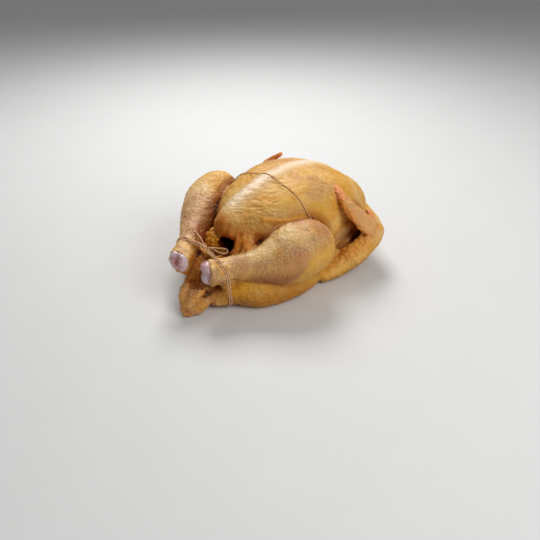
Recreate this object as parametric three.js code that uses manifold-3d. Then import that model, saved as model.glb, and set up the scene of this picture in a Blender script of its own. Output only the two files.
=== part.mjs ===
// A whole raw chicken, trussed with string, lying on its back.
// Millimetres, +Z up. The bird lies along Y: tail towards -Y, neck end towards +Y, breast up.
// The origin of the finished part is under the middle of the bird, on the surface it rests on.
// The stations below are given from the ankles at Y = 0 and the middle of the breast at X = 0.
// The flesh is a distance field: ellipsoid lumps and tapering limbs blended together.
import * as THREE from "three";
import Module from "manifold-3d";
import { mergeVertices } from "three/addons/utils/BufferGeometryUtils.js";

// ---------------------------------------------------------------- driving dimensions
const BODY_LENGTH = 212;
const BODY_WIDTH = 128;
const BREAST_TOP = 118;
const BREAST_RADIUS = 48;
const CALF_RADIUS = 33.5;
const SHANK_RADIUS = 13.8;
const WING_RADIUS = 13.4;
const WING_LEAF = 0.55;
const CAVITY_RADIUS = 14;
const UNDERSIDE_ROUNDING = 4;
const REST_LEVEL = 0.25;
const STRING_RADIUS = 0.75;
const STRING_GAP = 0.3;
const STRING_LIFT = 0.45;
const LEG_TIE = { x: 5, y: 20.2, z: 67, near: -0.2, far: 0.2, leanZ: -0.16, pitch: 2.4 };
const BREAST_TIE = { y: 123, z: 92, leanZ: -0.42 };
const SOCKET_GAP = 0.6;
const BONE_REACH = 17;
const LEG_STEPS = 54;
const BREAST_STEPS = 80;
const BOW_STEPS = 14;
const HULL_RAYS = 240;
const GRID_STEP = 2.5;
const FLESH_TRIANGLES = 7600;
const BONE_TRIANGLES = 320;
const LENGTH_PENALTY = 0.0005;

const LEFT = 1;
const RIGHT = -1;
const FAT_LUMP = [-7.5, 49, 62];
const BONE_AT = { [LEFT]: [22.4, 7.8, 50], [RIGHT]: [-6.6, -7.6, 58.6] };
const BONE_OUT = { [LEFT]: [-0.62, -0.78, 0], [RIGHT]: [0.1, -0.99, 0] };

const COLOURS = {
  chicken: { color: 0xd9a95c, roughness: 0.42 },
  left_bone_end: { color: 0xcdb4bb, roughness: 0.35 },
  right_bone_end: { color: 0xcdb4bb, roughness: 0.35 },
  leg_tie: { color: 0xc9a06e, roughness: 0.85 },
  breast_tie: { color: 0x8a6238, roughness: 0.85 },
};

// ---------------------------------------------------------------- distance field tools
function join(a, b, k) {
  const h = Math.max(k - Math.abs(a - b), 0) / k;
  return Math.min(a, b) - (h * h * h * k) / 6;
}

function carve(a, b, k) {
  return -join(-a, b, k);
}

// An ellipsoid, turned about Z by some degrees.
function lump([cx, cy, cz], [rx, ry, rz], turn = 0) {
  const c = Math.cos((turn * Math.PI) / 180);
  const s = Math.sin((turn * Math.PI) / 180);
  return (x, y, z) => {
    const dx = x - cx;
    const dy = y - cy;
    const u = (dx * c + dy * s) / rx;
    const v = (dy * c - dx * s) / ry;
    const w = (z - cz) / rz;
    const k0 = Math.hypot(u, v, w);
    const k1 = Math.hypot(u / rx, v / ry, w / rz) + 1e-6;
    return (k0 * (k0 - 1)) / k1;
  };
}

// The cubic of each span of a Catmull-Rom curve through stations [x, y, z, radius].
function spans(stations) {
  const n = stations.length;
  const first = stations[0].map((v, i) => 2 * v - stations[1][i]);
  const last = stations[n - 1].map((v, i) => 2 * v - stations[n - 2][i]);
  const p = [first, ...stations, last];
  const out = [];
  for (let i = 0; i < n - 1; i++) {
    const [a, b, c, d] = [p[i], p[i + 1], p[i + 2], p[i + 3]];
    out.push(b.map((_, j) => [
      b[j],
      (c[j] - a[j]) / 2,
      a[j] - 2.5 * b[j] + 2 * c[j] - d[j] / 2,
      (3 * b[j] - a[j] - 3 * c[j] + d[j]) / 2,
    ]));
  }
  return out;
}

const cubic = (q, t) => q[0] + t * (q[1] + t * (q[2] + t * q[3]));
const slope = (q, t) => q[1] + t * (2 * q[2] + t * 3 * q[3]);

function pointOn(curve, u) {
  const k = Math.min(Math.floor(u), curve.length - 1);
  return curve[k].map((q) => cubic(q, u - k));
}

// The straight chords of a curve, a few to each span.
function chordsOf(curve, steps) {
  const chords = [];
  for (let i = 0; i < curve.length * steps; i++) {
    const a = pointOn(curve, i / steps);
    const b = pointOn(curve, (i + 1) / steps);
    const d = [b[0] - a[0], b[1] - a[1], b[2] - a[2]];
    chords.push({ a, d, u: i / steps, square: d[0] * d[0] + d[1] * d[1] + d[2] * d[2] + 1e-6 });
  }
  return chords;
}

// A sphere round a curve and its radii.
function boundsOf(chords) {
  const centre = new THREE.Box3().setFromPoints(
    chords.flatMap(({ a, d }) => [
      new THREE.Vector3(a[0], a[1], a[2]),
      new THREE.Vector3(a[0] + d[0], a[1] + d[1], a[2] + d[2]),
    ]),
  ).getCenter(new THREE.Vector3());
  const reach = Math.max(...chords.map(({ a, d }) => a[3] + Math.max(
    Math.hypot(a[0] - centre.x, a[1] - centre.y, a[2] - centre.z),
    Math.hypot(a[0] + d[0] - centre.x, a[1] + d[1] - centre.y, a[2] + d[2] - centre.z),
  )));
  return { x: centre.x, y: centre.y, z: centre.z, reach: reach + 6 };
}

// The place on a curve nearest to a point, refined from the nearest chord.
function nearest(curve, chords, steps, x, y, z) {
  let best = Infinity;
  let u = 0;
  for (const { a, d, u: from, square } of chords) {
    const px = x - a[0];
    const py = y - a[1];
    const pz = z - a[2];
    const t = Math.min(Math.max((px * d[0] + py * d[1] + pz * d[2]) / square, 0), 1);
    const gap = (px - t * d[0]) ** 2 + (py - t * d[1]) ** 2 + (pz - t * d[2]) ** 2;
    if (gap < best) {
      best = gap;
      u = from + t / steps;
    }
  }
  for (let turn = 0; turn < 2; turn++) {
    const k = Math.min(Math.floor(u), curve.length - 1);
    const [qx, qy, qz] = curve[k];
    const t = u - k;
    const sx = slope(qx, t);
    const sy = slope(qy, t);
    const sz = slope(qz, t);
    const along = (x - cubic(qx, t)) * sx + (y - cubic(qy, t)) * sy + (z - cubic(qz, t)) * sz;
    u = Math.min(Math.max(u + along / (sx * sx + sy * sy + sz * sz + 1e-6), 0), curve.length);
  }
  return u;
}

// A round tapering limb along a smooth curve through stations [x, y, z, radius].
function limb(stations, steps = 2) {
  const curve = spans(stations);
  const chords = chordsOf(curve, steps);
  const ball = boundsOf(chords);
  return (x, y, z) => {
    const far = Math.hypot(x - ball.x, y - ball.y, z - ball.z) - ball.reach;
    if (far > 26) return far;
    const [ex, ey, ez, r] = pointOn(curve, nearest(curve, chords, steps, x, y, z));
    return Math.hypot(x - ex, y - ey, z - ez) - r;
  };
}

// A limb squeezed flat across a direction by a factor.
function leaf(stations, direction, factor, steps = 1) {
  const n = new THREE.Vector3(...direction).normalize();
  const count = stations.length;
  const mid = [0, 1, 2].map((i) => stations.reduce((sum, row) => sum + row[i], 0) / count);
  const stretch = (x, y, z) => {
    const g = (1 / factor - 1) * ((x - mid[0]) * n.x + (y - mid[1]) * n.y + (z - mid[2]) * n.z);
    return [x + g * n.x, y + g * n.y, z + g * n.z];
  };
  const round = limb(stations.map(([x, y, z, r]) => [...stretch(x, y, z), r]), steps);
  return (x, y, z) => round(...stretch(x, y, z));
}

const mirror = (stations, side) => stations.map(([x, ...rest]) => [x * side, ...rest]);

// ---------------------------------------------------------------- the parts of the bird
// Two breast muscles on a keel, over the ribs and back, with a skin flap over the neck opening.
function torso() {
  const half = BODY_WIDTH / 2;
  const ribs = lump([0, 148, 38], [half, BODY_LENGTH / 2, 46]);
  const tips = { [LEFT]: [7, 64, 74, 19], [RIGHT]: [2, 66, 75, 16.5] };
  const breasts = [LEFT, RIGHT].map((side) => limb(mirror([
    tips[side],
    [15, 98, 72, 34.5],
    [21, 142, 68, BREAST_RADIUS],
    [22, 192, 62, BREAST_RADIUS],
    [18, 228, 50, 38],
  ], side)));
  const keel = limb([
    [2, 54, 82, 9],
    [0, 84, 98, 11],
    [0, 140, BREAST_TOP - 12, 12],
    [0, 200, 96, 14],
    [0, 238, 64, 18],
  ]);
  const shoulders = lump([2, 212, 46], [half + 4, 48, 44]);
  const neckSkin = limb([
    [-40, 238, 60, 9],
    [-24, 251, 48, 9],
    [0, 257, 41, 10],
    [26, 251, 48, 9],
    [42, 238, 60, 9],
  ]);
  const neckFold = limb([
    [-30, 247, 40, 2.5],
    [-16, 256, 32, 3.5],
    [2, 260, 28, 4],
    [18, 256, 32, 3.5],
    [32, 247, 40, 2.5],
  ]);
  return (x, y, z) => {
    let d = ribs(x, y, z);
    for (const breast of breasts) d = join(d, breast(x, y, z), 18);
    d = join(d, keel(x, y, z), 24);
    d = join(d, shoulders(x, y, z), 22);
    d = join(d, neckSkin(x, y, z), 10);
    return carve(d, neckFold(x, y, z), 3);
  };
}

// The tail: a cupped upper face between two rims, a blunt lower lobe and a cheek beside it.
function tail() {
  const root = limb([[0, 50, 26, 22], [3, 28, 22, 17], [8, 12, 14, 10], [12, 0, 11, 6]]);
  const lobe = limb([
    [21.5, 1.5, 14.5, 6.5],
    [18.5, -4, 12, 8.5],
    [15, -10.5, 9.5, 8],
    [12, -15.6, 6, 5.8],
  ]);
  const cup = limb([[6, 4, 21.5, 9.5], [9, -5, 18.2, 9], [10, -12, 12, 7.6]]);
  const farRim = limb([
    [-3, 3, 30, 5],
    [0.2, -6, 28, 4.6],
    [1.6, -12.6, 25, 4.4],
    [4.5, -16, 20, 4.3],
    [7.4, -17.5, 13, 4.2],
    [10, -17.6, 6, 4.8],
  ]);
  const nearRim = limb([[20.5, 7, 27, 3], [18, -2, 25, 3.4], [15, -9.6, 21, 3.9], [12, -16, 15, 4.4]]);
  const cheek = limb([
    [36, 40, 20, 13],
    [32, 29, 19, 9.5],
    [29, 21.6, 14, 9],
    [23, 17, 12.5, 8],
    [19, 12, 14, 6],
  ]);
  const pit = lump([23.4, 5, 26.8], [3.6, 3.6, 4.4]);
  return (x, y, z) => {
    let d = join(root(x, y, z), lobe(x, y, z), 6);
    d = join(d, cup(x, y, z), 5);
    d = join(d, farRim(x, y, z), 4);
    d = join(d, nearRim(x, y, z), 4);
    d = join(d, cheek(x, y, z), 3);
    return carve(d, pit(x, y, z), 2);
  };
}

// Skin that hangs from the tip of the breast on both sides of the opening, a lump of fat
// beside it, and the lip and wall of skin below it.
function curtains() {
  const left = limb([[8, 60, 78, 10], [20, 55, 66, 8], [28, 44, 52, 8], [29, 27, 35, 9]]);
  const web = limb([[14, 66, 70, 14], [32, 58, 60, 11], [44, 48, 48, 10]]);
  const right = limb([[-3, 62, 74, 9], [-15, 54, 60, 10], [-20, 38, 47, 10.5], [-14, 14, 34, 9]]);
  const fat = lump(FAT_LUMP, [12.5, 13, 15]);
  const lip = limb([[-14, 30, 50, 6], [-2, 28.5, 52, 4.8], [13, 31, 53, 5]]);
  const wall = limb([[-9, 23, 43, 8.5], [-5, 12, 37, 9.5], [0, 4, 29, 8]]);
  return (x, y, z) => {
    let far = join(right(x, y, z), lip(x, y, z), 4);
    far = join(far, wall(x, y, z), 5);
    far = join(far, fat(x, y, z), 4);
    return Math.min(join(left(x, y, z), web(x, y, z), 6), far);
  };
}

// The way into the body, open towards the tail between the two shanks.
function cavity() {
  return limb([
    [9, 30, 62, 5.5],
    [11, 47, 64, 9.5],
    [6, 66, 62, CAVITY_RADIUS],
    [0, 84, 60, CAVITY_RADIUS],
  ]);
}

// The hollow between the tail and the wall below the opening.
function vent() {
  return limb([[1, 0, 31, 3], [6, 1, 30.5, 4.5], [12, 3, 29.5, 3]]);
}

// The crease between the right drumstick and the tip of the breast.
function farFold() {
  return limb([
    [-19, 36, 60, 4],
    [-21, 46, 67, 6],
    [-26, 56, 77, 6],
    [-34, 68, 87, 4.5],
    [-46, 88, 94, 2.5],
  ]);
}

// The crease between the tip of the breast and the lump of fat below it.
function underTip() {
  return limb([[-27, 56, 77, 4], [-14, 46, 77, 3.6], [-3, 41, 75.5, 3.4], [8, 38, 69, 4]]);
}

// The thigh, its knee, and the roll of skin that it rests on.
function thigh(side) {
  const left = side === LEFT;
  const meat = lump([42 * side, 84, 30], [34, 56, 30], -16 * side);
  const knee = left ? lump([60, 114, 40], [28, 32, 32]) : lump([-68, 112, 54], [31, 31, 34]);
  const start = [
    [20, 18, 13, 9],
    [28, 32, 13, 11],
  ];
  const leftRoll = [
    [45, 45, 15.5, 14.5],
    [56, 54, 14, 13.5],
    [65, 73, 13.5, 13],
    [69.5, 96, 15.5, 14.5],
    [66.5, 117, 18, 17.5],
    [61, 136, 18, 16],
  ];
  const rightRoll = [
    [45, 45, 17, 14.5],
    [58, 56, 18, 15],
    [69, 76, 22, 17],
    [77, 98, 32, 20],
    [82, 116, 50, 22],
    [80, 122, 64, 20],
  ];
  const roll = limb(mirror([...start, ...(left ? leftRoll : rightRoll)], side));
  return (x, y, z) => join(join(meat(x, y, z), knee(x, y, z), 12), roll(x, y, z), 8);
}

// The drumstick, from the knee to the ankle; the right one is lifted and spread.
function drumstick(side) {
  const left = [
    [72, 110, 59, 31],
    [66, 94, 55, CALF_RADIUS],
    [60, 76, 51.5, 29],
    [53, 58, 51, 20.5],
    [45, 44, 51, 15.5],
    [38, 32, 51, SHANK_RADIUS],
    [32, 20, 50.2, SHANK_RADIUS],
    [28, 15, 49.8, 13.4],
  ];
  const right = [
    [-84.5, 117, 70, 28.5],
    [-78, 94.5, 67, 28],
    [-64.4, 73.7, 64, 25],
    [-51, 55, 61, 20],
    [-35.5, 35, 59, 14.8],
    [-24, 18.5, 58.2, 12],
    [-14.5, 4.5, 57.2, 13],
    [-9, -3, 56, 12.2],
  ];
  return limb(side === LEFT ? left : right, 1);
}

// The crease between drumstick and thigh.
function legCrease(side) {
  const lift = side === LEFT ? 0 : 4;
  const spread = side === LEFT ? 1 : 1.04;
  const path = [
    [26, 30, 34, 1.5],
    [41, 47, 31, 2.5],
    [58, 60, 25, 2.4],
    [70.5, 77, 25, 1.6],
    [77.5, 95, 27, 2.6],
    [80, 111, 33, 2.5],
    [80, 127, 41, 1],
  ];
  return limb(path.map(([x, y, z, r]) => [x * spread * side, y, z + lift, r]));
}

// The flat hand of a wing, from the wrist to its tip; the left one reaches further back.
function handStations(side) {
  const left = [
    [93, 209, 48, 11],
    [88.8, 195.3, 62, 10.9],
    [84, 185.3, 74, 9.9],
    [78.3, 178.8, 83, 8.6],
    [71, 176.4, 91, 6.8],
    [63, 177.4, 97, 5.1],
    [55.5, 180.2, 101, 3.2],
  ];
  const right = [
    [93, 212, 48, 11],
    [90, 208, 62, 10.9],
    [86, 205, 75, 9.9],
    [80, 204, 86, 8.6],
    [72, 204, 94, 6.8],
    [64, 204, 100, 5],
    [57, 204, 105, 3.4],
  ];
  return side === LEFT ? left : right;
}

// Upper arm, forearm, the flat hand turned back over the breast, its thumb and the shoulder web.
function wing(side) {
  const upper = limb(mirror([
    [54, 208, 34, 20],
    [60, 184, 24, 15],
    [66, 160, 17, 12],
    [70, 144, 13, 11],
  ], side));
  const forearm = limb(mirror([
    [76.6, 137, 10, 8],
    [81, 155, 13, 10.5],
    [83, 169, 17, 12.2],
    [87.7, 180.6, 24, WING_RADIUS],
    [90.1, 194, 31, WING_RADIUS],
    [92.2, 206, 39, 13],
    [92.8, 212, 45, 11.6],
  ], side), 1);
  const hand = leaf(mirror(handStations(side), side), [side, -0.1, 0.55], WING_LEAF);
  const thumb = limb(mirror([[91, 214, 56, 4.8], [87.5, 210, 64, 4.4], [83, 208.5, 70.5, 3.4]], side));
  const web = limb(mirror([[56, 236, 50, 12], [74, 232, 46, 9], [88, 222, 44, 9]], side));
  const armpit = lump([60 * side, 222, 36], [22, 18, 22]);
  return (x, y, z) => {
    let d = join(upper(x, y, z), forearm(x, y, z), 5);
    d = join(d, web(x, y, z), 6);
    d = join(d, armpit(x, y, z), 12);
    d = join(d, hand(x, y, z), 2.5);
    return join(d, thumb(x, y, z), 3);
  };
}

// The deep fold between the forearm and the side of the breast.
function wingFold(side) {
  return limb(mirror([
    [66, 166, 25, 3],
    [70, 178, 31, 4.5],
    [74, 188, 38, 6],
    [79, 196, 46, 7],
  ], side));
}

// The fold between the knee and the side of the breast, where the breast string runs.
function kneeFold(side) {
  return limb(mirror([
    [64, 125, 86, 1.5],
    [69, 132, 72, 3.5],
    [70, 139, 56, 4],
    [67, 146, 38, 3.5],
    [62, 154, 20, 2],
  ], side));
}

// The trunk: everything but the drumsticks and wings.
function trunk() {
  const body = torso();
  const rump = tail();
  const skirts = curtains();
  const thighs = [LEFT, RIGHT].map(thigh);
  const hollows = [[cavity(), 5], [vent(), 3], [farFold(), 4], [underTip(), 3]];
  return (x, y, z) => {
    let d = join(body(x, y, z), rump(x, y, z), 8);
    d = join(d, skirts(x, y, z), 8);
    for (const part of thighs) d = join(d, part(x, y, z), 10);
    for (const [hollow, rounding] of hollows) d = carve(d, hollow(x, y, z), rounding);
    return d;
  };
}

// The whole bird before the string presses into it.
function bird() {
  const body = trunk();
  const limbs = [LEFT, RIGHT].map((side) => ({
    leg: drumstick(side),
    mouth: ankleMouth(side),
    crease: legCrease(side),
    behindKnee: kneeFold(side),
    arm: wing(side),
    underArm: wingFold(side),
  }));
  return (x, y, z) => {
    let d = body(x, y, z);
    for (const { leg, mouth, crease, behindKnee, arm, underArm } of limbs) {
      d = join(d, carve(leg(x, y, z), mouth(x, y, z), 2), 3);
      d = carve(d, crease(x, y, z), 4);
      d = carve(d, behindKnee(x, y, z), 3);
      d = join(d, arm(x, y, z), 4);
      d = carve(d, underArm(x, y, z), 3);
    }
    return carve(d, z, UNDERSIDE_ROUNDING);
  };
}

// An ellipsoid given across, along and above the middle of a bone end.
function boneLump(side, [across, along, above], radii) {
  const [x, y, z] = BONE_AT[side];
  const [ox, oy] = BONE_OUT[side];
  const turn = (Math.atan2(ox, -oy) * 180) / Math.PI;
  return lump([x - across * oy + along * ox, y + across * ox + along * oy, z + above], radii, turn);
}

// The cut that opens the skin at the end of a shank.
function ankleMouth(side) {
  return boneLump(side, [0, 5.6, 0], [16, 8.6, 16]);
}

// The gristle cap of an ankle: two condyles, above each other or side by side, and a groove.
function boneEnd(side) {
  const core = boneLump(side, [0, -2.5, 0], [9, 7, 10]);
  let condyles = [
    boneLump(side, [-6, 0, 0], [5.4, 7.6, 10]),
    boneLump(side, [6, 0, 0], [5.4, 7.6, 10]),
  ];
  let groove = boneLump(side, [0, 7.5, 9], [2.8, 5, 5]);
  if (side === LEFT) {
    condyles = [
      boneLump(side, [0, 0.4, 6], [9.6, 8, 6.6]),
      boneLump(side, [0, -0.4, -5.8], [9, 8.6, 7.6]),
    ];
    groove = boneLump(side, [9, 7, 0.5], [5, 4, 2.2]);
  }
  return (x, y, z) => {
    const d = join(condyles[0](x, y, z), condyles[1](x, y, z), 3);
    return carve(join(d, core(x, y, z), 3), groove(x, y, z), 2);
  };
}

// ---------------------------------------------------------------- surface of a field
const CORNERS = [0, 1, 2, 3, 4, 5, 6, 7];
const PATHS = [[1, 2], [1, 4], [2, 1], [2, 4], [4, 1], [4, 2]];
const TETRAHEDRA = PATHS.map(([a, b]) => [0, a, a + b, 7]);

function volumeSign(tet) {
  const [a, b, c] = tet.slice(1).map((k) => new THREE.Vector3(k & 1, (k >> 1) & 1, (k >> 2) & 1));
  return a.dot(b.cross(c));
}

// The field's values on the points of a grid over a box.
function sampled(field, low, high, step) {
  const n = [0, 1, 2].map((i) => Math.ceil((high[i] - low[i]) / step) + 1);
  const values = new Float64Array(n[0] * n[1] * n[2]);
  const index = (i, j, k) => (k * n[1] + j) * n[0] + i;
  const place = (g) => [
    low[0] + (g % n[0]) * step,
    low[1] + (Math.floor(g / n[0]) % n[1]) * step,
    low[2] + Math.floor(g / (n[0] * n[1])) * step,
  ];
  for (let g = 0; g < values.length; g++) values[g] = field(...place(g)) || 1e-9;
  return { n, values, index, place };
}

// Hands out one surface point for each grid edge that the surface cuts.
function edgeCutter({ values, place }, points) {
  const known = new Map();
  return (g, h) => {
    const key = Math.min(g, h) * values.length + Math.max(g, h);
    if (!known.has(key)) {
      const a = place(g);
      const b = place(h);
      const t = Math.min(Math.max(values[g] / (values[g] - values[h]), 0.02), 0.98);
      known.set(key, points.length);
      points.push(a.map((v, i) => v + t * (b[i] - v)));
    }
    return known.get(key);
  };
}

// The edges of a tetrahedron that are cut, in order round the piece of surface inside it.
function cutEdges(inside, outside) {
  if (inside.length === 1) return outside.map((o) => [inside[0], o]);
  if (outside.length === 1) return inside.map((i) => [i, outside[0]]);
  return [[0, 0], [0, 1], [1, 1], [1, 0]].map(([i, o]) => [inside[i], outside[o]]);
}

// One tetrahedron of a cell: none, a triangle or a quadrilateral of the surface.
function marchTetrahedron(tet, cell, values, cut, triangles) {
  const order = [0, 1, 2, 3];
  const inside = order.filter((v) => values[cell[tet[v]]] < 0);
  const outside = order.filter((v) => values[cell[tet[v]]] >= 0);
  if (!inside.length || !outside.length) return;
  const listed = [...inside, ...outside];
  const pairs = order.flatMap((a) => order.slice(a + 1).map((b) => [a, b]));
  const swaps = pairs.filter(([a, b]) => listed[a] > listed[b]).length;
  const ring = cutEdges(inside, outside).map(([i, o]) => cut(cell[tet[i]], cell[tet[o]]));
  if (volumeSign(tet) * (swaps % 2 ? -1 : 1) < 0) ring.reverse();
  for (let i = 2; i < ring.length; i++) triangles.push([ring[0], ring[i - 1], ring[i]]);
}

// Marching tetrahedra over a box: a closed triangle mesh of the field's zero surface.
function surfaceOf(field, low, high, step) {
  const grid = sampled(field, low, high, step);
  const { n, values, index } = grid;
  const points = [];
  const triangles = [];
  const cut = edgeCutter(grid, points);
  const march = (i, j, k) => {
    const cell = CORNERS.map((c) => index(i + (c & 1), j + ((c >> 1) & 1), k + ((c >> 2) & 1)));
    const count = cell.filter((g) => values[g] < 0).length;
    if (count === 0 || count === 8) return;
    for (const tet of TETRAHEDRA) marchTetrahedron(tet, cell, values, cut, triangles);
  };
  for (let k = 0; k + 1 < n[2]; k++) {
    for (let j = 0; j + 1 < n[1]; j++) {
      for (let i = 0; i + 1 < n[0]; i++) march(i, j, k);
    }
  }
  return { points, triangles };
}

// The triangles that hang together with the most others: no closed pockets and no loose scraps.
function outerShell({ points, triangles }) {
  const parent = points.map((_, i) => i);
  const root = (v) => {
    while (parent[v] !== v) {
      parent[v] = parent[parent[v]];
      v = parent[v];
    }
    return v;
  };
  for (const [a, b, c] of triangles) {
    parent[root(a)] = root(b);
    parent[root(b)] = root(c);
  }
  const count = new Map();
  for (const [a] of triangles) count.set(root(a), (count.get(root(a)) || 0) + 1);
  const main = [...count].reduce((x, y) => (y[1] > x[1] ? y : x))[0];
  return { points, triangles: triangles.filter(([a]) => root(a) === main) };
}

// Moves the points onto the zero surface of the field along its gradient.
function settle({ points, triangles }, field, rounds = 2) {
  const e = 0.2;
  const settled = points.map((point) => {
    let [x, y, z] = point;
    for (let round = 0; round < rounds; round++) {
      const d = field(x, y, z);
      const gx = (field(x + e, y, z) - d) / e;
      const gy = (field(x, y + e, z) - d) / e;
      const gz = (field(x, y, z + e) - d) / e;
      const pull = Math.min(Math.max(d / Math.max(gx * gx + gy * gy + gz * gz, 0.2), -1), 1);
      x -= pull * gx;
      y -= pull * gy;
      z -= pull * gz;
    }
    return [x, y, z];
  });
  return { points: settled, triangles };
}

// ---------------------------------------------------------------- fewer triangles
// The sum of squared distances to planes, as ten numbers.
function planeQuadric([a, b, c, d], weight) {
  return [a * a, a * b, a * c, a * d, b * b, b * c, b * d, c * c, c * d, d * d].map((v) => v * weight);
}

function quadricError(q, [x, y, z]) {
  return q[0] * x * x + 2 * q[1] * x * y + 2 * q[2] * x * z + 2 * q[3] * x
    + q[4] * y * y + 2 * q[5] * y * z + 2 * q[6] * y + q[7] * z * z + 2 * q[8] * z + q[9];
}

// The point with the least error, or null where it isn't well defined.
function quadricMinimum(q) {
  const m = new THREE.Matrix3().set(q[0], q[1], q[2], q[1], q[4], q[5], q[2], q[5], q[7]);
  const size = q[0] + q[4] + q[7];
  if (Math.abs(m.determinant()) < 1e-4 * size * size * size) return null;
  const v = new THREE.Vector3(-q[3], -q[6], -q[8]).applyMatrix3(m.invert());
  return [v.x, v.y, v.z];
}

function crossOf(a, b, c) {
  const u = [b[0] - a[0], b[1] - a[1], b[2] - a[2]];
  const v = [c[0] - a[0], c[1] - a[1], c[2] - a[2]];
  return [u[1] * v[2] - u[2] * v[1], u[2] * v[0] - u[0] * v[2], u[0] * v[1] - u[1] * v[0]];
}

// A binary heap of edge collapses, the cheapest first.
class Heap {
  constructor() {
    this.items = [];
  }

  push(item) {
    const a = this.items;
    a.push(item);
    let i = a.length - 1;
    while (i > 0) {
      const parent = (i - 1) >> 1;
      if (a[parent].cost <= a[i].cost) break;
      [a[parent], a[i]] = [a[i], a[parent]];
      i = parent;
    }
  }

  pop() {
    const a = this.items;
    const top = a[0];
    const last = a.pop();
    if (!a.length) return top;
    a[0] = last;
    for (let i = 0; ;) {
      let child = 2 * i + 1;
      if (child >= a.length) break;
      if (child + 1 < a.length && a[child + 1].cost < a[child].cost) child++;
      if (a[i].cost <= a[child].cost) break;
      [a[child], a[i]] = [a[i], a[child]];
      i = child;
    }
    return top;
  }
}

// A mesh whose edges can be collapsed one after another, those that change it least first.
class Collapser {
  constructor({ points, triangles }) {
    this.points = points;
    this.faces = triangles.map((t) => [...t]);
    this.left = triangles.length;
    this.around = points.map(() => new Set());
    this.quadrics = points.map(() => new Array(10).fill(0));
    this.version = new Array(points.length).fill(0);
    this.heap = new Heap();
    this.faces.forEach((face, f) => this.addFace(face, f));
    for (const face of this.faces) this.offerSides(face);
  }

  addFace(face, f) {
    const n = crossOf(...face.map((v) => this.points[v]));
    const size = Math.max(Math.hypot(...n), 1e-9);
    const [a, b, c] = n.map((v) => v / size);
    const p = this.points[face[0]];
    const q = planeQuadric([a, b, c, -(a * p[0] + b * p[1] + c * p[2])], size);
    for (const v of face) {
      this.quadrics[v] = this.quadrics[v].map((value, i) => value + q[i]);
      this.around[v].add(f);
    }
  }

  offerSides(face) {
    face.forEach((v, i) => {
      const next = face[(i + 1) % 3];
      if (v < next) this.offer(v, next);
    });
  }

  neighbours(v) {
    const corners = [...this.around[v]].flatMap((f) => this.faces[f]);
    return new Set(corners.filter((w) => w !== v));
  }

  // Puts an edge on the heap with the point that it would shrink to.
  offer(a, b) {
    const q = this.quadrics[a].map((v, i) => v + this.quadrics[b][i]);
    const [p, r] = [this.points[a], this.points[b]];
    const span = Math.hypot(p[0] - r[0], p[1] - r[1], p[2] - r[2]);
    const middle = p.map((v, i) => (v + r[i]) / 2);
    let to = quadricMinimum(q);
    if (!to || Math.hypot(...to.map((v, i) => v - middle[i])) > span + 0.5) {
      to = [middle, p, r].reduce((x, y) => (quadricError(q, y) < quadricError(q, x) ? y : x));
    }
    const cost = Math.max(quadricError(q, to), 0) + LENGTH_PENALTY * span * span;
    this.heap.push({ cost, a, b, q, to, stamp: this.version[a] + this.version[b] });
  }

  // Whether a triangle would fold over or vanish if a corner moved.
  turnsOver(moved, other, to) {
    return [...this.around[moved]].some((f) => {
      const face = this.faces[f];
      if (face.includes(other)) return false;
      const before = crossOf(...face.map((v) => this.points[v]));
      const after = crossOf(...face.map((v) => (v === moved ? to : this.points[v])));
      const dot = before[0] * after[0] + before[1] * after[1] + before[2] * after[2];
      const size = Math.hypot(...after);
      return size < 1e-3 || dot < 0.25 * Math.hypot(...before) * size;
    });
  }

  allowed({ a, b, to, stamp }) {
    const { version, around } = this;
    if (version[a] < 0 || version[b] < 0 || stamp !== version[a] + version[b]) return false;
    const near = this.neighbours(b);
    const shared = [...this.neighbours(a)].filter((v) => around[v].size && near.has(v));
    return shared.length === 2 && !this.turnsOver(a, b, to) && !this.turnsOver(b, a, to);
  }

  collapse({ a, b, q, to }) {
    const { faces, around } = this;
    for (const f of [...around[b]]) {
      if (faces[f].includes(a)) {
        for (const v of faces[f]) around[v].delete(f);
        faces[f] = null;
        this.left -= 1;
      } else {
        faces[f] = faces[f].map((v) => (v === b ? a : v));
        around[a].add(f);
      }
    }
    around[b].clear();
    this.points[a] = to;
    this.quadrics[a] = q;
    this.version[a] += 1;
    this.version[b] = -1e9;
    for (const v of this.neighbours(a)) this.offer(a, v);
  }
}

// The mesh with no more than a number of triangles.
function simplify(mesh, target) {
  const work = new Collapser(mesh);
  while (work.left > target && work.heap.items.length) {
    const edge = work.heap.pop();
    if (work.allowed(edge)) work.collapse(edge);
  }
  return { points: work.points, triangles: work.faces.filter(Boolean) };
}

// ---------------------------------------------------------------- three.js and booleans
const wasm = await Module();
wasm.setup();

function geometryOf({ points, triangles }) {
  const used = new Map();
  const kept = [];
  const place = (v) => {
    if (!used.has(v)) {
      used.set(v, kept.length);
      kept.push(points[v]);
    }
    return used.get(v);
  };
  const index = triangles.flat().map(place);
  const geometry = new THREE.BufferGeometry();
  geometry.setAttribute("position", new THREE.Float32BufferAttribute(kept.flat(), 3));
  geometry.setIndex(index);
  return geometry;
}

function solidOf(geometry) {
  const bare = geometry.clone();
  for (const name of ["normal", "uv"]) bare.deleteAttribute(name);
  const merged = mergeVertices(bare, 1e-4);
  return new wasm.Manifold(new wasm.Mesh({
    numProp: 3,
    vertProperties: new Float32Array(merged.attributes.position.array),
    triVerts: new Uint32Array(merged.index.array),
  }));
}

function geometryFrom(solid) {
  const { vertProperties, triVerts } = solid.getMesh();
  const geometry = new THREE.BufferGeometry();
  geometry.setAttribute("position", new THREE.BufferAttribute(vertProperties, 3));
  geometry.setIndex(new THREE.BufferAttribute(triVerts, 1));
  return geometry;
}

// A field as a mesh with a given number of triangles.
function modelled(field, low, high, step, triangles) {
  const surface = outerShell(surfaceOf(field, low, high, step));
  return simplify(settle(surface, field), triangles);
}

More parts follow.
